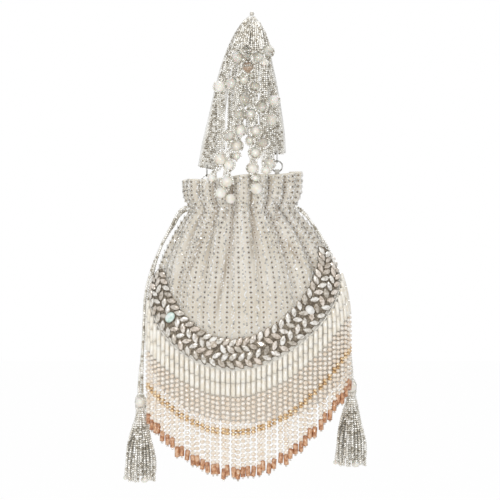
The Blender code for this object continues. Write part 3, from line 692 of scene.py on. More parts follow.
def smooth_route(route, count):
    """Points spaced evenly along a smooth curve through the route."""
    points = [np.array(p, float) for p in route]
    points = [2 * points[0] - points[1], *points, 2 * points[-1] - points[-2]]
    fine = []
    for a, b, c, d in zip(points, points[1:], points[2:], points[3:]):
        for t in np.linspace(0, 1, 12, endpoint=False):
            flat = 2 * b + (c - a) * t
            bend = (2 * a - 5 * b + 4 * c - d) * t**2 + (3 * b - a - 3 * c + d) * t**3
            fine.append((flat + bend) / 2)
    fine.append(points[-2])
    fine = np.array(fine)
    run = np.concatenate([[0], np.cumsum(np.linalg.norm(np.diff(fine, axis=0), axis=1))])
    evenly = np.linspace(0, run[-1], count)
    return [Vector([float(np.interp(s, run, fine[:, k])) for k in range(3)]) for s in evenly]


def strap_frames(count):
    """Centre, direction across and direction out of the face, all along the strap.

    The openness is 0 where the strap is seen edge-on and 1 where its face is to the front. It is carried as a
    very small y, so that it hardly counts in the route's length.
    """
    route = smooth_route([(x, openness / OPENNESS_SCALE, z) for x, openness, z in STRAP_STATIONS], count)
    frames = []
    for i, spot in enumerate(route):
        before, after = route[max(i - 1, 0)], route[min(i + 1, count - 1)]
        along = Vector((after.x - before.x, 0, after.z - before.z)).normalized()
        turn = math.acos(clamped(OPENNESS_SCALE * spot.y))
        across = math.cos(turn) * Vector((-along.z, 0, along.x)) + math.sin(turn) * Vector((0, 1, 0))
        frames.append((Vector((spot.x, 0, spot.z)), across, along.cross(across)))
    return frames


def loft(name, rings):
    return added(name, ring_skin(name, rings))


BACKING_SHARE = 0.36
strap_rings = []
for centre, across, face in strap_frames(160):
    ring = []
    for turn in even_turns(12):
        wide = math.copysign(abs(math.cos(turn)) ** 0.35, math.cos(turn))
        thick = math.copysign(abs(math.sin(turn)) ** 0.7, math.sin(turn))
        aside = across * wide * BAND_SHARE * STRAP_WIDTH
        ring.append(centre + aside + face * thick * BACKING_SHARE * STRAP_THICKNESS)
    strap_rings.append(ring)
strap_band = loft("strap_band", strap_rings)
band_cloth = Finish("grey band cloth", (0.62, 0.60, 0.56), 0.7)
band_cloth.mottle(300, (0.35, (0.62, 0.60, 0.55)), (0.65, (0.84, 0.83, 0.79)), detail=4)
band_cloth.bump(band_cloth.noise(2500), 0.0001)
band_cloth.cover(strap_band)

PIPING_RADIUS = 0.0011
piping_lines = [[c + a * s * PIPING_SHARE * STRAP_WIDTH for c, a, _ in strap_frames(220)] for s in (-1, 1)]
strap_piping = polyline_tubes("strap_piping", piping_lines, PIPING_RADIUS, 7)
pale_piping = Finish("pale piping", (0.84, 0.83, 0.80), 0.5)
pale_piping.mottle(700, (0.4, (0.74, 0.73, 0.70)), (0.6, (0.92, 0.91, 0.88)))
pale_piping.cover(strap_piping)

BEAD_ROWS = 7
BEAD_STEP = 0.0018
BEAD_TONES_AND_GLINTS = (0.25, 0.40, 0.42, 0.44, 0.52, 0.72, 0.78, 0.86)
HOLE_CLEAR = 0.0021
strap_length = length_of([centre for centre, _, _ in strap_frames(160)])
bead_spots, bead_ways, bead_tints = [], [], []
for k, (centre, across, face) in enumerate(strap_frames(int(strap_length / BEAD_STEP))):
    for side in (-1, 1):
        for row in range(BEAD_ROWS):
            share = (row + 0.5 + 0.25 * (-1) ** k) / BEAD_ROWS - 0.5
            aside = across * share * BEADED_SHARE * STRAP_WIDTH
            spot = centre + aside + face * side * BACKING_SHARE * STRAP_THICKNESS
            if all((spot - hole).xz.length > HOLE_CLEAR for hole in LINK_HOLES):
                bead_spots.append(spot)
                bead_ways.append(face * side)
                bead_tints.append(dice.choice(BEAD_TONES_AND_GLINTS))

# The tints are mostly the beads' own greys, with a dark brown among them; the near-white stop is painted
# glints.
silver_bead = Finish("silver-lined seed beads", (0.70, 0.68, 0.63), 0.22, 0.4)
silver_bead.colour(silver_bead.ramp(
    silver_bead.attribute("tint"), (0.0, (0.62, 0.59, 0.53)), (0.28, (0.77, 0.74, 0.68)),
    (0.42, (0.25, 0.21, 0.15)), (0.52, (0.52, 0.48, 0.40)), (0.70, (0.84, 0.82, 0.76)),
    (0.85, (0.98, 0.97, 0.94)), (1.0, (0.68, 0.64, 0.56))))
silver_bead.rough(silver_bead.noise(620, 1), 0.12, 0.38)
round_shape = bead_shape("seed bead shape", [(0.5, -0.75), (1.0, -0.3), (1.0, 0.3), (0.5, 0.75)], 6)
strap_beads = sewn("strap_beads", bead_spots, bead_ways, silver_bead, tints=bead_tints,
                   Bead=round_shape, Size=0.00082, Unevenness=0.00012, Seed=7)
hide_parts("strap")
for item in (strap_band, strap_piping, strap_beads):
    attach(item, "handle")


# Links and rings
# Bent wire links pass through a worked hole in each strap end and carry a round jump ring, all of bright
# plated steel, mottled darker where the plating thins.
plated = Finish("plated steel", (0.60, 0.59, 0.57), 0.2, 1.0)
plated.mottle(800, (0.35, (0.30, 0.29, 0.27)), (0.65, (0.74, 0.73, 0.71)))
plated.rough(plated.noise(1500), 0.12, 0.32)
for name in ("link_left", "link_right", "ring_left", "ring_right"):
    plated.cover(nodes[name])
    nodes[name].data.shade_smooth()


# Strands
# Eleven strings of silver seed beads and pearls are sewn one before another to the front of the strap's fold,
# and hang freely to different lengths. Between the pearls each string is threaded bead on bead.
THREAD_RADIUS = 0.001
SEWN_GAP = 0.0003
DRAPE_STEP = 0.0022
FAN_TOP_Z = -0.004
FAN_HEIGHT = 0.022
LAYER_BACK = -0.0111
LAYER_STEP = 0.0067
FULL_PEARL = 0.0049


def strand(layer, rank, start, end, *pearls):
    """One string: its layer, its place in the sewn stack, both ends, and its pearls as x, z and radius.

    A pearl without a radius of its own is a full one.
    """
    pearls = [(*pearl, FULL_PEARL)[:3] for pearl in pearls]
    return {"layer": layer, "rank": rank, "start": start, "end": end, "pearls": pearls}


STRANDS = [
    strand(0, 0, (-0.0056, -0.0034), (-0.0125, -0.095), (-0.0044, -0.0322),
           (-0.0035, -0.0448, 0.0052), (-0.0065, -0.0722), (-0.0113, -0.0853)),
    strand(1, 1, (-0.0056, -0.0034), (-0.0200, -0.114), (-0.0122, -0.0365),
           (-0.0178, -0.0583), (-0.0191, -0.1035)),
    strand(1, 0, (0.0016, -0.0010), (-0.0026, -0.114), (0.0052, -0.0365),
           (0.0022, -0.0622), (-0.0009, -0.0853), (-0.0013, -0.1079, 0.0035)),
    strand(0, 0, (0.0052, -0.0050), (0.0092, -0.118), (0.0135, -0.0305),
           (0.0083, -0.0787), (0.0096, -0.1101)),
    strand(2, 0, (-0.0018, -0.0008), (-0.0132, -0.127), (-0.0074, -0.0552),
           (-0.0104, -0.0992), (-0.0135, -0.1127), (-0.0135, -0.1215, 0.0034)),
    strand(3, 2, (-0.0056, -0.0034), (-0.0352, -0.146), (-0.0274, -0.0622),
           (-0.0270, -0.1244), (-0.0344, -0.1405, 0.0033)),
    strand(2, 1, (0.0016, -0.0010), (0.0040, -0.126), (-0.0004, -0.0518, 0.0022),
           (0.0030, -0.1001), (0.0026, -0.1188)),
    strand(1, 1, (0.0052, -0.0050), (0.0150, -0.136), (0.0183, -0.0731),
           (0.0165, -0.0900), (0.0148, -0.1275)),
    strand(3, 1, (-0.0018, -0.0008), (-0.0270, -0.160), (-0.0196, -0.1292, 0.0044),
           (-0.0213, -0.1436), (-0.0265, -0.1531)),
    strand(3, 2, (0.0016, -0.0010), (0.0042, -0.157), (0.0004, -0.1322, 0.0044),
           (0.0030, -0.1409, 0.0026), (0.0039, -0.1496, 0.0052)),
    strand(3, 2, (0.0052, -0.0050), (0.0125, -0.141), (0.0104, -0.0420, 0.0026), (0.0120, -0.1340, 0.0035)),
]


def strand_depth(item, z):
    """How far forward a string hangs: stacked tight at the fold, then fanned out to its own layer."""
    start = -(STRAP_WIDTH / 2 + THREAD_RADIUS + SEWN_GAP) - DRAPE_STEP * item["rank"]
    hang = LAYER_BACK - LAYER_STEP * item["layer"]
    return start + (hang - start) * clamped((FAN_TOP_Z - z) / FAN_HEIGHT)


def strand_point(item, z):
    spots = [item["start"], *[(x, height) for x, height, _ in item["pearls"]], item["end"]]
    x = float(np.interp(z, [h for _, h in spots][::-1], [s for s, _ in spots][::-1]))
    return Vector((x, strand_depth(item, z), z))


def thread_tree():
    """Threads one bead after another on lines of points, each turned along its line and with its own tint."""
    tree, given = bead_group("thread beads", Pitch="Float", Least="Float", Most="Float")
    curve = add_node(tree, "GeometryNodeMeshToCurve", {"Mesh": given["Geometry"]}).outputs["Curve"]
    feeds = {"Curve": curve, "Length": given["Pitch"]}
    spots = add_node(tree, "GeometryNodeCurveToPoints", feeds, mode="LENGTH").outputs
    lowest, highest, size = random_number(tree, given["Seed"])
    tree.links.new(given["Least"], lowest)
    tree.links.new(given["Most"], highest)
    darkest, _, tint = random_number(tree, given["Seed"])
    darkest.default_value = LEAST_TINT
    feeds = {"Name": "tint", "Value": tint, "Geometry": spots["Points"]}
    kept = add_node(tree, "GeometryNodeStoreNamedAttribute", feeds).outputs["Geometry"]
    set_beads(tree, given, kept, spots["Rotation"], size)
    return tree


def lines_mesh(name, lines):
    """Lines of points as bare edges, for beads to be threaded on."""
    mesh = bpy.data.meshes.new(name)
    spots, edges = [], []
    for line in lines:
        first = len(spots)
        spots += [tuple(p) for p in line]
        edges += [(first + i, first + i + 1) for i in range(len(line) - 1)]
    mesh.from_pydata(spots, edges, [])
    return added(name, mesh)


LEAST_TINT = 0.44
STRING_PROFILE = [(0.45, -0.8), (1.0, -0.35), (1.0, 0.35), (0.45, 0.8)]
thread_beads = thread_tree()
string_shape = bead_shape("string bead shape", STRING_PROFILE, 6)


def threaded(name, lines, **inputs):
    """One piece of silver beads threaded on the lines. The other inputs are those of the threading tree."""
    string = lines_mesh(name, lines)
    return grow(string, thread_beads, Bead=string_shape, Finish=silver_bead.material, **inputs)


def balls(name, spots, rings, sides, look):
    """Round beads of one look, given as centre and radius."""
    bm = bmesh.new()
    for centre, radius in spots:
        made = bmesh.ops.create_uvsphere(bm, u_segments=sides, v_segments=rings, radius=radius)
        bmesh.ops.translate(bm, verts=made["verts"], vec=centre)
    item = added(name, smooth_mesh(name, bm))
    look.cover(item)
    return item


pearl_spots = [(strand_point(item, z), radius) for item in STRANDS for x, z, radius in item["pearls"]]


def pushed_aside(point, middle):
    """A string's point, moved sideways round each pearl that it would otherwise cross in front of."""
    x = point.x
    for spot, radius in pearl_spots:
        away = abs(point.z - spot.z)
        if away < radius and spot.y > point.y - 0.004:
            clear = 0.0006 + math.sqrt(radius**2 - away**2)
            if abs(x - spot.x) < clear:
                side = 1 if middle > spot.x else -1
                x = spot.x + side * clear
    return Vector((x, point.y, point.z))


COMPANIONS = (
    (-0.0017, 0.0007, 0.006), (0.0016, 0.0009, 0.003), (-0.0006, 0.0019, 0.010), (0.0034, 0.0016, 0.012))
BEAD_END = 0.0006
SHORTEST_RUN = 0.002
string_lines = []
for number, item in enumerate(STRANDS):
    top, low = item["start"][1], item["end"][1]
    breaks = [top]
    for x, z, radius in item["pearls"]:
        breaks += [z + radius, z - radius]
    breaks.append(low)
    for upper, lower in zip(breaks[::2], breaks[1::2]):
        if upper - lower > SHORTEST_RUN:
            heights = np.linspace(upper - BEAD_END, lower + BEAD_END, 24)
            line = [strand_point(item, float(z)) for z in heights]
            string_lines.append([pushed_aside(p, p.x) for p in line])
    for aside, behind, short in COMPANIONS:
        aside = aside if number % 2 else -aside
        line = []
        for z in map(float, np.linspace(top - 0.001, low + short, 70)):
            opened = min((top - z) / 0.014 + 0.35, 1)
            main = strand_point(item, z)
            line.append(pushed_aside(main + Vector((aside * opened, behind * opened, 0)), main.x + aside))
        string_lines.append(line)

pearl = Finish("cream pearl", (0.86, 0.81, 0.72), 0.25, coat=0.35)
pearl.set("Coat Roughness", 0.12)
pearl.set("Subsurface Weight", 0.1)
pearl.set("Subsurface Scale", 0.002)
pearl.mottle(130, (0.35, (0.80, 0.75, 0.64)), (0.5, (0.87, 0.84, 0.76)), (0.66, (0.91, 0.89, 0.84)))
pearl.rough(pearl.noise(420), 0.16, 0.3)
beige_brown = Finish("beige brown resin", (0.62, 0.46, 0.34), 0.3)
beige_brown.mottle(
    420, (0.35, (0.60, 0.43, 0.31)), (0.5, (0.78, 0.61, 0.48)), (0.66, (0.88, 0.77, 0.66)), detail=3)
ribbed_spot, ribbed_radius = pearl_spots.pop(1)
ribbed_bead = balls("ribbed_bead", [(Vector(), 1)], 16, 48, beige_brown)
for vertex in ribbed_bead.data.vertices:
    turn = math.atan2(vertex.co.y, vertex.co.x)
    rib = 1 - 0.07 * math.hypot(vertex.co.x, vertex.co.y) * (1 - abs(math.cos(6 * turn)))
    vertex.co = ribbed_spot + ribbed_radius * rib * vertex.co
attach(ribbed_bead, "handle")

LOOSE_PEARL = 0.0044
loose_spot = strand_point(STRANDS[8], -0.1531) + Vector((0.0082, 0, -0.0051))
loose_way = Vector((-0.0022, 0, 0.0110))
pearl_spots.append((loose_spot, LOOSE_PEARL))
string_lines.append([loose_spot.lerp(loose_spot + loose_way, 0.36 + k / 8) for k in range(5)])
STRANDS_PARTED = -0.116
halves = (
    ("upper", lambda z: z >= STRANDS_PARTED, ("handle", "rings", (0, 0, -0.060), (0, 0, STRANDS_PARTED))),
    ("lower", lambda z: z < STRANDS_PARTED, ("rings", "bag", (0, 0, STRANDS_PARTED), (0, 0, -0.139))),
)
for half, belongs, (over, under, start, end) in halves:
    lines = [[p for p in line if belongs(p.z)] for line in string_lines]
    beads = threaded(half + "_strand_beads", [line for line in lines if len(line) > 1],
                     Pitch=0.00168, Seed=11, Least=0.00088, Most=0.00106)
    chosen = [(spot, radius) for spot, radius in pearl_spots if belongs(spot.z)]
    pearls = balls(half + "_strand_pearls", chosen, 14, 22, pearl)
    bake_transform(beads)
    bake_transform(pearls)
    if half == "upper":
        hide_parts(*[f"strand_{k + 1}" for k in range(len(STRANDS))])


# Crystal band
# Four rows of leaf-shaped glass stones, each in a dark pronged setting, lean in pairs like leaves along two
# stems. They are sewn to a stiff dark backing that curves in a U across the front, and stand on the cloth.
BAND_HALF_HEIGHT = 0.0128
BAND_BACKING = 0.001
BAND_SEAT = 0.0007
BAND_FACE = BAND_SEAT + 0.9 * BAND_BACKING
LEAVES_PER_ROW = 35
LEAF_ROWS = 4
LEAF_LEAN = math.radians(48)


def band_spot(angle, up):
    """The angle and height on the pouch of a spot that lies the distance up above the band's middle line."""
    step = 0.01
    here = bag_point(angle, band_height(angle), 0, 1)
    along = (bag_point(angle + step, band_height(angle + step), 0, 1) - here).normalized()
    sideways = bag_point(angle + step, here.z, 0, 1) - here
    flat = along.dot(sideways.normalized())
    return angle - up * along.z / (sideways.length / step), here.z + up * flat


def band_point(angle, up, offset):
    spot_angle, z = band_spot(angle, up)
    return bag_point(spot_angle, z, offset, 1)


def band_frame(angle, up, offset):
    """A spot on the band, the direction out of it, and the direction along it."""
    here = band_point(angle, up, offset)
    along = (band_point(angle + 0.01, up, offset) - band_point(angle - 0.01, up, offset)).normalized()
    rise = band_point(angle, up + 0.001, offset) - band_point(angle, up - 0.001, offset)
    return here, along.cross(rise).normalized(), along


backing_rings = []
for i in range(121):
    angle = BAND_REACH * (i / 60 - 1)
    narrow = 1 - 0.25 * abs(i / 60 - 1) ** 8
    heights = [0.9 * BAND_HALF_HEIGHT * narrow * (k / 6 - 1) for k in range(13)]
    ring = [band_point(angle, up, BAND_FACE) for up in heights]
    ring += [band_point(angle, up, BAND_SEAT) for up in reversed(heights)]
    backing_rings.append(ring)
band_backing = loft("band_backing", backing_rings)
dark_felt = Finish("taupe felt backing", (0.22, 0.18, 0.13), 0.85)
dark_felt.mottle(500, (0.4, (0.14, 0.11, 0.08)), (0.65, (0.36, 0.31, 0.24)))
dark_felt.bump(dark_felt.noise(3000), 0.0002)
dark_felt.cover(band_backing)


def lens_outline(length, width, count):
    """A pointed oval, from tip to tip and back."""
    spots = []
    for turn in even_turns(count):
        x = math.cos(turn)
        spots.append((length / 2 * x, width / 2 * math.copysign((1 - abs(x) ** 2.0) ** 0.85, math.sin(turn))))
    return spots


def cut_stone_shape(name, outline, heights_and_scales):
    """A faceted stone: rings of the outline at each height, each of its own scale, and a flat table."""
    rings = [[(x * scale, y * scale, height) for x, y in outline] for height, scale in heights_and_scales]
    shape = bpy.data.objects.new(name, ring_skin(name, rings, cut=True))
    shape.data.shade_flat()
    return shape


stone_shape = cut_stone_shape(
    "leaf stone shape", lens_outline(0.0094, 0.0048, 12),
    [(0.0, 0.96), (0.0006, 1.0), (0.0014, 0.80), (0.0019, 0.42)])
setting_shape = cut_stone_shape(
    "leaf setting shape", lens_outline(0.0102, 0.0056, 12), [(0.0, 0.98), (0.0005, 1.0), (0.0006, 0.9)])

EXTRA_STONES = [(-51, 0.001, 0.0048), (38, 0.001, 0.0043), (-21, 0.0055, 0.0036)]
taken = [(band_frame(math.radians(a), up, BAND_SEAT)[0], reach) for a, up, reach in EXTRA_STONES]
leaf_spots, leaf_ways, leaf_lies, leaf_tints = [], [], [], []
for row in range(LEAF_ROWS):
    up = BAND_HALF_HEIGHT * ((2 * row + 1) / LEAF_ROWS - 1)
    lean = LEAF_LEAN if row % 2 else -LEAF_LEAN
    for k in range(LEAVES_PER_ROW):
        share = (k + 0.5 + (0.25 if row % 2 else -0.05)) / (LEAVES_PER_ROW + 0.4)
        angle = (2 * share - 1) * BAND_REACH * 0.985
        here, out, along = band_frame(angle, up + dice.uniform(-0.0003, 0.0003), BAND_FACE)
        if any((here - spot).length < reach + 0.0004 for spot, reach in taken):
            continue
        turn = Matrix.Rotation(lean + dice.uniform(-0.14, 0.14), 3, out)
        leaf_spots.append(here)
        tilt = along * dice.uniform(-0.10, 0.10) + Vector((0, 0, dice.uniform(-0.10, 0.10)))
        leaf_ways.append((out + tilt).normalized())
        leaf_lies.append(turn @ along)
        leaf_tints.append(dice.random())

stone_glass = Finish("champagne stone", (0.80, 0.75, 0.68), 0.12, 0.35, coat=1.0)
stone_glass.set("Coat Roughness", 0.03)
stone_tint = stone_glass.ramp(
    stone_glass.attribute("tint"), (0.0, (0.62, 0.57, 0.50)), (0.25, (0.88, 0.86, 0.82)),
    (0.5, (0.95, 0.94, 0.92)), (0.75, (0.82, 0.73, 0.65)), (1.0, (0.52, 0.48, 0.42)))
# Painted reflection: a noise of dark and bright patches, multiplied into the stones' colour, stands in for
# facets mirroring light and dark.
painted_flash = stone_glass.ramp(
    stone_glass.noise(420, 3), (0.38, (0.42, 0.37, 0.30)), (0.5, (0.85, 0.82, 0.77)), (0.6, (1.0, 1.0, 0.98)))
stone_glass.colour(stone_glass.mix(0.75, stone_tint, painted_flash, "MULTIPLY"))
setting_metal = Finish("dark setting metal", (0.16, 0.13, 0.09), 0.35, 0.9)
setting_metal.mottle(900, (0.4, (0.05, 0.04, 0.03)), (0.62, (0.30, 0.25, 0.18)), (0.75, (0.72, 0.68, 0.58)))
band_stones = sewn("band_stones", leaf_spots, leaf_ways, stone_glass, leaf_lies, leaf_tints,
                   Bead=stone_shape, Size=1.0, Unevenness=0.06, Seed=1)
band_settings = sewn("band_settings", leaf_spots, leaf_ways, setting_metal, leaf_lies,
                     Bead=setting_shape, Size=1.0, Unevenness=0.03, Seed=1)
for item in (band_stones, band_settings):
    item.data.shade_flat()

DOME_OUTLINE = ((0.0, 0.96), (0.0010, 1.0), (0.0018, 0.86), (0.0025, 0.6), (0.0028, 0.25))
COLLAR_RADIUS = 0.00042
COLLAR_HEIGHT = 0.0006


def domed_stone(name, angle, up, half_length, half_width, look):
    """A smooth oval stone in a plain dark collar, in place of a few leaves."""
    here, out, along = band_frame(math.radians(angle), up, BAND_FACE)
    tall = out.cross(along)

    def oval(height, scale, count):
        middle = here + out * height
        return [
            middle + along * half_width * scale * math.cos(t) + tall * half_length * scale * math.sin(t)
            for t in even_turns(count)]

    stone = loft(name, [oval(height, scale, 24) for height, scale in DOME_OUTLINE])
    look.cover(stone)
    collar = polyline_tubes(name + "_collar", [oval(COLLAR_HEIGHT, 1.06, 36)], COLLAR_RADIUS, 6, True)
    setting_metal.cover(collar)
    return [stone, collar]


opal = Finish("mint opal", (0.62, 0.80, 0.74), 0.12, coat=1.0)
opal.mottle(260, (0.36, (0.50, 0.68, 0.58)), (0.5, (0.70, 0.87, 0.81)), (0.66, (0.93, 0.98, 0.95)), detail=3)
milk = Finish("milk white stone", (0.90, 0.88, 0.84), 0.12, coat=1.0)
milk.mottle(300, (0.35, (0.74, 0.72, 0.68)), (0.6, (0.95, 0.94, 0.91)))
champagne_dome = Finish("champagne dome", (0.62, 0.52, 0.41), 0.14, coat=1.0)
champagne_dome.mottle(350, (0.35, (0.45, 0.36, 0.27)), (0.65, (0.80, 0.72, 0.62)))
domes = domed_stone("opal_stone", -51, 0.001, 0.0054, 0.0040, opal)
domes += domed_stone("white_stone", 38, 0.001, 0.0048, 0.0036, milk)
domes += domed_stone("round_stone", -21, 0.0055, 0.0031, 0.0031, champagne_dome)
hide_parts("crystal_band")
for item in (band_backing, band_stones, band_settings, *domes):
    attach(item, "bag")


# Fringe
# A tape under the band carries a close row of bead strings: long cream glass tubes, then small pearls, one
# gold ring bead, more pearls, and a translucent copper tube with a clear bead at its tip. They hang straight.
FRINGE_STRINGS = 45
FRINGE_REACH = math.radians(83)
HEADER_HEIGHT = 0.0018
TUBE_RADIUS = 0.002
TUBE_LENGTH = 0.013
COPPER_RADIUS = 0.0022
COPPER_LENGTH = 0.0092
PEARL_RUN = 0.028
SMALL_PEARL = 0.00214
TAPE_GAP = 0.0005
TUBE_GAP = 0.00015
GOLD_HALF_STEP = 0.0014


def gold_line(x):
    """Height of the gold beads, lowest a little left of the middle."""
    return -0.3585 + 6.8 * (x + 0.016) ** 2


def copper_line(x, index):
    """Height of the copper tubes, which end in a slightly ragged curve."""
    return -0.393 + 7.5 * (x + 0.014) ** 2 + 0.0016 * math.sin(2.1 * index)


fine_angles = np.linspace(-FRINGE_REACH, FRINGE_REACH, 400)
places = np.array([bag_point(a, WIDEST_Z, 0, 0) for a in fine_angles])
front_run = np.concatenate([[0], np.cumsum(np.linalg.norm(np.diff(places, axis=0), axis=1))])
evenly = np.linspace(0, front_run[-1], FRINGE_STRINGS)
string_angles = [float(np.interp(s, front_run, fine_angles)) for s in evenly]
header_drop = BAND_HALF_HEIGHT + 0.0005 + HEADER_HEIGHT + 0.0007
header_spots = [band_spot(a, -header_drop) for a in np.linspace(-BAND_REACH, BAND_REACH, 80)]
header_angles, header_heights = zip(*header_spots)

tape_rings = []
for angle in np.linspace(-FRINGE_REACH, FRINGE_REACH, 120):
    z = float(np.interp(angle, header_angles, header_heights))
    foot = bag_point(float(angle), z, TAPE_GAP, 1)
    out = Vector((math.sin(angle), -math.cos(angle), 0))
    rise = Vector((0, 0, HEADER_HEIGHT))
    tape_rings.append([foot, foot + out * BAND_BACKING, foot + out * BAND_BACKING + rise, foot + rise])
fringe_tape = loft("fringe_tape", tape_rings)
hem_cloth = Finish("cream tape", (0.74, 0.69, 0.60), 0.7)
hem_cloth.mottle(900, (0.4, (0.90, 0.87, 0.80)), (0.6, (0.96, 0.94, 0.89)))
hem_cloth.cover(fringe_tape)

tube_lines, fringe_pearls, gold_spots, copper_spots, tip_spots = [], [], [], [], []
shake = random.Random(8)
for index, angle in enumerate(string_angles):
    start = float(np.interp(angle, header_angles, header_heights))
    hang_z = min(start, WIDEST_Z)
    sway = shake.uniform(-0.0002, 0.0002)
    swing = shake.uniform(-0.0011, 0.0011)

    def string_point(z, angle=angle, hang_z=hang_z, sway=sway, swing=swing):
        point = bag_point(angle, max(z, hang_z), TAPE_GAP + COPPER_RADIUS, 1)
        return Vector((point.x + sway + swing * clamped((hang_z - z) / 0.09), point.y, z))

    x = string_point(hang_z).x
    gold = gold_line(x) + shake.uniform(-0.0006, 0.0006)
    copper = copper_line(x, index) + shake.uniform(-0.0013, 0.0013)
    first_pearl = min(gold + PEARL_RUN, start - 0.006)
    tube_top, tube_low = start + 0.0014, first_pearl + SMALL_PEARL + 0.0004
    tubes = max(round((tube_top - tube_low) / TUBE_LENGTH), 1)
    each = (tube_top - tube_low) / tubes
    for k in range(tubes):
        heights = np.linspace(tube_top - k * each - TUBE_GAP, tube_top - (k + 1) * each + TUBE_GAP, 4)
        tube_lines.append([string_point(float(z)) for z in heights])
    for top, low in ((first_pearl, gold + 0.0042), (gold - 0.0040, copper + COPPER_LENGTH / 2 + 0.0016)):
        count = max(int((top - low) / (1.74 * SMALL_PEARL)), 1)
        fringe_pearls += [string_point(top + (low - top) * k / count) for k in range(count + 1)]
    gold_spots += [string_point(gold + GOLD_HALF_STEP), string_point(gold - GOLD_HALF_STEP)]
    copper_spots.append(string_point(copper))
    tip_spots.append(string_point(copper - COPPER_LENGTH / 2 - 0.0009))

cream_tube = Finish("cream glass tube", (0.88, 0.82, 0.70), 0.16, coat=0.8)
cream_tube.mottle(
    260, (0.36, (0.87, 0.80, 0.67)), (0.5, (0.94, 0.89, 0.79)), (0.64, (0.97, 0.94, 0.87)), detail=3)
cream_tube.rough(cream_tube.noise(800), 0.1, 0.28)
blush_pearl = Finish("small blush pearl", (0.90, 0.82, 0.70), 0.2, coat=0.6)
blush_pearl.mottle(280, (0.38, (0.84, 0.71, 0.57)), (0.5, (0.91, 0.82, 0.71)), (0.62, (0.95, 0.90, 0.83)))
gold_bead = Finish("gold ring bead", (0.74, 0.54, 0.31), 0.24, 0.4)
gold_bead.mottle(420, (0.38, (0.46, 0.28, 0.12)), (0.5, (0.74, 0.52, 0.29)), (0.64, (0.90, 0.76, 0.55)))
copper_glass = Finish("copper glass tube", (0.72, 0.38, 0.18), 0.12, coat=0.5)
copper_glass.set("Transmission Weight", 0.2)
copper_glass.mottle(
    330, (0.38, (0.42, 0.17, 0.07)), (0.5, (0.70, 0.34, 0.16)), (0.64, (0.88, 0.58, 0.37)), detail=3)

gold_shape = bead_shape(
    "gold bead shape", [(0.0011, -0.0013), (0.0021, -0.0007), (0.0021, 0.0007), (0.0011, 0.0013)], 10)
copper_shape = bead_shape(
    "copper bead shape",
    [(0.0011, -0.0046), (COPPER_RADIUS, -0.0042), (COPPER_RADIUS, 0.0042), (0.0011, 0.0046)], 9)
PEARL_TURNS = (0.0, 0.6, 1.2, 1.9, 2.5, math.pi)
pearl_outline = [(1.04 * math.sin(t) if 0 < t < 3 else 0.05, -0.88 * math.cos(t)) for t in PEARL_TURNS]
small_round = bead_shape("small round bead shape", pearl_outline, 8)
up = Vector((0, 0, 1))
tilted = [Vector((shake.uniform(-0.12, 0.12), 0, 1)).normalized() for _ in copper_spots]
fringe_tubes = polyline_tubes("fringe_tubes", tube_lines, TUBE_RADIUS, 9)
cream_tube.cover(fringe_tubes)
fringe_gold = sewn("fringe_gold", gold_spots, [up] * len(gold_spots), gold_bead,
                   Bead=gold_shape, Size=1.0, Unevenness=0.04, Seed=5)
fringe_copper = sewn("fringe_copper", copper_spots, tilted, copper_glass,
                     Bead=copper_shape, Size=1.0, Unevenness=0.03, Seed=6)
fringe_small_pearls = sewn("fringe_small_pearls", fringe_pearls, [up] * len(fringe_pearls), blush_pearl,
                           Bead=small_round, Size=SMALL_PEARL, Unevenness=0.00012, Seed=7)
fringe_tips = sewn("fringe_tips", tip_spots, [up] * len(tip_spots), pale_glass,
                   Bead=small_round, Size=0.0010, Unevenness=0.0001, Seed=8)
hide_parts("fringe")
for item in (fringe_tape, fringe_tubes, fringe_small_pearls, fringe_gold, fringe_copper, fringe_tips):
    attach(item, "bag")


# Drawcords
# The drawstring leaves the neck at each side and goes on as a rope of two bead strings laid side by side. It
# hangs along the pouch's edge to its tassel, and pulling both closes the neck.
LEFT_ROUTE = [
    (-0.0494, 0.0000, -0.1653),
    (-0.0578, 0.0000, -0.1663),
    (-0.0640, 0.0000, -0.1712),
    (-0.0688, 0.0005, -0.1800),
    (-0.0735, 0.0020, -0.1875),
    (-0.0800, 0.0026, -0.2000),
    (-0.0872, 0.0028, -0.2200),
    (-0.0921, 0.0028, -0.2430),
    (-0.0949, 0.0028, -0.2750),
    (-0.0969, 0.0036, -0.3020),
    (-0.0979, 0.0058, -0.3180),
    (-0.0980, 0.0060, -0.3290),
]
RIGHT_ROUTE = [
    (0.0320, 0.0000, -0.1653),
    (0.0404, 0.0000, -0.1663),
    (0.0468, 0.0008, -0.1712),
    (0.0530, 0.0046, -0.1798),
    (0.0582, 0.0084, -0.1875),
    (0.0653, 0.0097, -0.2000),
    (0.0750, 0.0106, -0.2200),
    (0.0816, 0.0112, -0.2430),
    (0.0850, 0.0114, -0.2750),
    (0.0868, 0.0114, -0.2980),
    (0.0875, 0.0114, -0.3160),
]
CORD_PITCH = 0.0021
ROPE_POINTS = 90


def hung(route):
    """The route's points, moved back with the side of the pouch that the cord hangs along."""
    return [(x, y + lean_back(z), z) for x, y, z in route]


def bead_rope(name, route, spread, radius, turns):
    """Two strings of round beads side by side along the route, crossing over each other a few times."""
    path = smooth_route(hung(route), ROPE_POINTS)
    last = ROPE_POINTS - 1
    lines = [[], []]
    for i, point in enumerate(path):
        along = (path[min(i + 1, last)] - path[max(i - 1, 0)]).normalized()
        side = along.cross(Vector((0, 1, 0))).normalized()
        depth = side.cross(along)
        twist = turns * math.pi * i / last + 0.25 * math.sin(i / 7)
        offset = (side * math.cos(twist) + depth * math.sin(twist)) * spread
        lines[0].append(point + offset)
        lines[1].append(point - offset)
    rope = threaded(name, lines, Pitch=CORD_PITCH, Seed=9, Least=radius * 0.94, Most=radius * 1.06)
    return rope, path


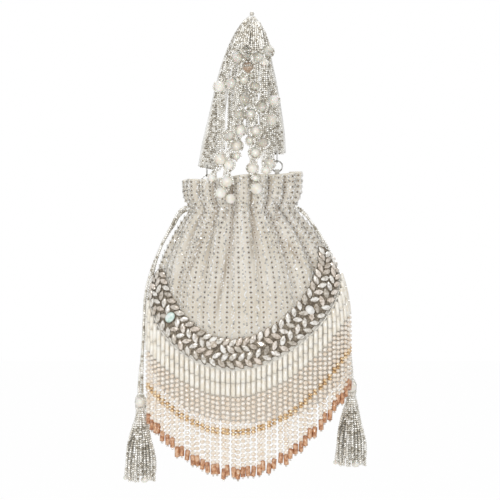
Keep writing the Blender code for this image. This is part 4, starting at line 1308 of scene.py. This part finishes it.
rope_left, path_left = bead_rope("drawcord_left_beads", LEFT_ROUTE, 0.00150, 0.00145, 2.0)
rope_right, path_right = bead_rope("drawcord_right_beads", RIGHT_ROUTE, 0.00120, 0.0012, 3.0)


# Tassels
# Each rope ends in a beaded cap with pearls on its front, and a skirt of bead strings that fan out from it,
# some of them finished with a small pearl.
TASSEL_CAP_RADIUS = 0.0052
CAP_PEARL_RADIUS = 0.0042
TASSEL_LENGTH = 0.064
TASSEL_SPREAD = 0.0140
TASSEL_STRINGS = 42
STRING_ROOT = 0.0024
CAP_OUTLINE = [(0.0022, 0.0), (0.0040, -0.0014), (TASSEL_CAP_RADIUS, -0.0042), (TASSEL_CAP_RADIUS, -0.0090),
               (0.0046, -0.0128), (0.0030, -0.0135)]


def cap_and_beads(side, top):
    """The cap of cloth and the rows of seed beads sewn round it."""
    rings = []
    for radius, height in CAP_OUTLINE:
        inner = 0.82 * radius
        ring = [Vector((inner * math.cos(t), inner * math.sin(t), height)) for t in even_turns(20)]
        rings.append([top + spot for spot in ring])
    cap = loft(f"tassel_{side}_cap", rings)
    band_cloth.cover(cap)
    spots, ways, tints = [], [], []
    heights, radii = [z for _, z in CAP_OUTLINE][::-1], [r for r, _ in CAP_OUTLINE][::-1]
    for row in range(7):
        height = -0.0010 - 0.0019 * row
        radius = float(np.interp(height, heights, radii)) * 0.85
        count = max(int(2 * math.pi * radius / 0.0020), 5)
        for k in range(count):
            t = 2 * math.pi * (k + 0.5 * (row % 2)) / count
            way = Vector((math.cos(t), math.sin(t), 0))
            spots.append(top + way * radius + Vector((0, 0, height)))
            ways.append(way)
            tints.append(dice.random())
    cap_beads = sewn(f"tassel_{side}_cap_beads", spots, ways, silver_bead, tints=tints,
                     Bead=round_shape, Size=0.00098, Unevenness=0.00008, Seed=2)
    return cap, cap_beads


def skirt_lines(top, turn_start):
    """The lines that the skirt's strings hang along, and the pearls that end some of them."""
    lines, end_pearls = [], []
    for k in range(TASSEL_STRINGS):
        turn = turn_start + 2.4 * k
        spread = TASSEL_SPREAD * (0.30 + 0.70 * math.sqrt((k + 0.5) / TASSEL_STRINGS))
        length = TASSEL_LENGTH * (0.94 + 0.06 * math.sin(2.7 * k))
        way = Vector((math.sin(turn), math.cos(turn), 0))
        line = []
        for share in np.linspace(0, 1, 16):
            reach = STRING_ROOT + (spread - STRING_ROOT) * math.sin(share * math.pi / 2) ** 1.15
            wave = 0.0006 * math.sin(9 * share + k)
            line.append(top + way * (reach + wave) + Vector((0, 0, -0.0115 - length * float(share))))
        lines.append(line)
        if k % 7 == 1:
            end_pearls.append((line[-1] - Vector((0, 0, 0.0012)), 0.0020 + 0.0006 * (k % 3)))
    return lines, end_pearls


def tassel(side, route, turn_start):
    """The cap with its beads, the skirt, its end pearls and the cap's pearl, as five pieces."""
    top = Vector(hung(route)[-1]) - Vector((0, 0, 0.0003))
    cap, cap_beads = cap_and_beads(side, top)
    lines, end_pearls = skirt_lines(top, turn_start)
    strings = threaded(f"tassel_{side}_strings", lines, Pitch=0.00195, Seed=12, Least=0.00108, Most=0.00130)
    ends = balls(f"tassel_{side}_end_pearls", end_pearls, 8, 12, pearl)
    forward = TASSEL_CAP_RADIUS + CAP_PEARL_RADIUS + 0.0005
    cap_spot = (top + Vector((0, -forward, -0.0062)), CAP_PEARL_RADIUS)
    cap_pearls = balls(f"tassel_{side}_cap_pearls", [cap_spot], 14, 22, pearl)
    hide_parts(f"tassel_{side}")
    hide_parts(f"tassel_pearl_{side}")
    for item, finish in ((cap, "silver_beads"), (cap_beads, "silver_beads"), (strings, "silver_beads"),
                         (ends, "pearls"), (cap_pearls, "pearls")):
        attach(item, "bag")
    return [cap, cap_beads, strings, ends, cap_pearls]


for side, rope, path, route, width in (("left", rope_left, path_left, LEFT_ROUTE, 0.0058),
                                       ("right", rope_right, path_right, RIGHT_ROUTE, 0.0048)):
    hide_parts(f"drawcord_{side}")
    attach(rope, "bag")
    tassel(side, route, 0.2)


# Top bead
# One silver bead is sewn on the strap's fold, over the knot of the strands.
TOP_BEAD_RADIUS = 0.002
top_spot = (Vector((0, 0, 0.0002 + STRAP_THICKNESS / 2 + TOP_BEAD_RADIUS + 0.0003)), TOP_BEAD_RADIUS)
top_bead_ball = balls("top_bead_ball", [top_spot], 12, 18, silver_bead)
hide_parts("top_bead")
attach(top_bead_ball, "handle")


# Ring tabs
# A small folded loop of the strap's grey cloth, sewn inside the neck on each side, holds the ring. The ring
# has worn the loop a little wider, so it turns freely there.
RING_WIRE = 0.0007
TAB_BORE = 0.0016
BORE_WEAR = 0.00035
for side in ("left", "right"):
    tab = added(f"tab_{side}_loop", nodes[f"tab_{side}"].data.copy())
    loop_mesh = bmesh.new()
    loop_mesh.from_mesh(tab.data)
    bmesh.ops.remove_doubles(loop_mesh, verts=loop_mesh.verts, dist=0.00001)
    eye_z = min(vertex.co.z for vertex in nodes[f"ring_{side}"].data.vertices) + RING_WIRE
    for vertex in loop_mesh.verts:
        away = Vector((0, vertex.co.y, vertex.co.z - eye_z))
        if away.length < TAB_BORE + 0.0001:
            vertex.co += away.normalized() * BORE_WEAR
    loop_mesh.to_mesh(tab.data)
    loop_mesh.free()
    soft = tab.modifiers.new("soft edges", "BEVEL")
    soft.width = 0.00018
    soft.segments = 2
    tab.data.shade_smooth()
    band_cloth.cover(tab)
    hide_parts(f"tab_{side}")
    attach(tab, "bag")


# Stage
# A plain pale floor well below the hanging bag, soft light from the front, above and behind, and a white
# background.
FLOOR_Z = -0.62
FLOOR_HALF = 6
WORLD_STRENGTH = 0.44
FLOOR_GLOW = 0.985
corners = [(x * FLOOR_HALF, y * FLOOR_HALF, FLOOR_Z) for x, y in ((-1, -1), (1, -1), (1, 1), (-1, 1))]
floor_mesh = bpy.data.meshes.new("floor")
floor_mesh.from_pydata(corners, [], [(0, 1, 2, 3)])
floor = added("floor", floor_mesh)


def seen_share(tree):
    """1 for rays that come straight from the camera, a mirror or a glass, and 0 for those that only light."""
    rays = add_node(tree, "ShaderNodeLightPath").outputs
    feeds = {0: rays["Is Glossy Ray"], 1: rays["Is Transmission Ray"]}
    mirrored = add_node(tree, "ShaderNodeMath", feeds, operation="MAXIMUM").outputs[0]
    feeds = {0: rays["Is Camera Ray"], 1: mirrored}
    return add_node(tree, "ShaderNodeMath", feeds, operation="MAXIMUM").outputs[0]


pale_floor = Finish("pale floor", (0.92, 0.92, 0.92), 0.8)
glow = pale_floor.add("ShaderNodeEmission").outputs["Emission"]
glow_share = pale_floor.math("MULTIPLY", seen_share(pale_floor.tree), FLOOR_GLOW)
feeds = {"Fac": glow_share, 1: pale_floor.shader.outputs["BSDF"], 2: glow}
glowing = pale_floor.add("ShaderNodeMixShader", feeds).outputs["Shader"]
pale_floor.tree.links.new(glowing, pale_floor.tree.nodes["Material Output"].inputs["Surface"])
pale_floor.cover(floor)

scene = bpy.context.scene
scene.view_settings.view_transform = "Standard"
world = bpy.data.worlds.new("studio")
scene.world = world
world.use_nodes = True
sky = world.node_tree
sky_light = sky.nodes["Background"]
sky_light.inputs["Color"].default_value = (1, 1, 1, 1)
sky_light.inputs["Strength"].default_value = WORLD_STRENGTH
sky_seen = add_node(sky, "ShaderNodeBackground", {"Color": (1, 1, 1, 1)}).outputs["Background"]
feeds = {"Fac": seen_share(sky), 1: sky_light.outputs["Background"], 2: sky_seen}
shown = add_node(sky, "ShaderNodeMixShader", feeds).outputs["Shader"]
sky.links.new(shown, sky.nodes["World Output"].inputs["Surface"])

AIM = Vector((0, 0, -0.2))
LAMPS = (
    ("key light", (-0.6, -1.2, 0.5), 0.6, 3.5),
    ("front light", (0.04, -1.9, -0.13), 0.3, 11),
    ("top light", (0.1, 0.3, 1.1), 0.7, 5),
    ("back light", (0.3, 1.6, 0.2), 0.7, 5),
)
for name, place, side, watts in LAMPS:
    lamp = bpy.data.lights.new(name, "AREA")
    lamp.size = side
    lamp.energy = watts
    item = added(name, lamp)
    item.location = place
    item.rotation_euler = (AIM - Vector(place)).to_track_quat("-Z", "Y").to_euler()

camera = bpy.data.cameras.new("camera")
camera.sensor_width = 36
camera.lens = 149
camera_item = added("camera", camera)
camera_item.location = (-0.0017, -1.8, -0.202)
camera_item.rotation_euler = (math.pi / 2, 0, 0)
scene.camera = camera_item
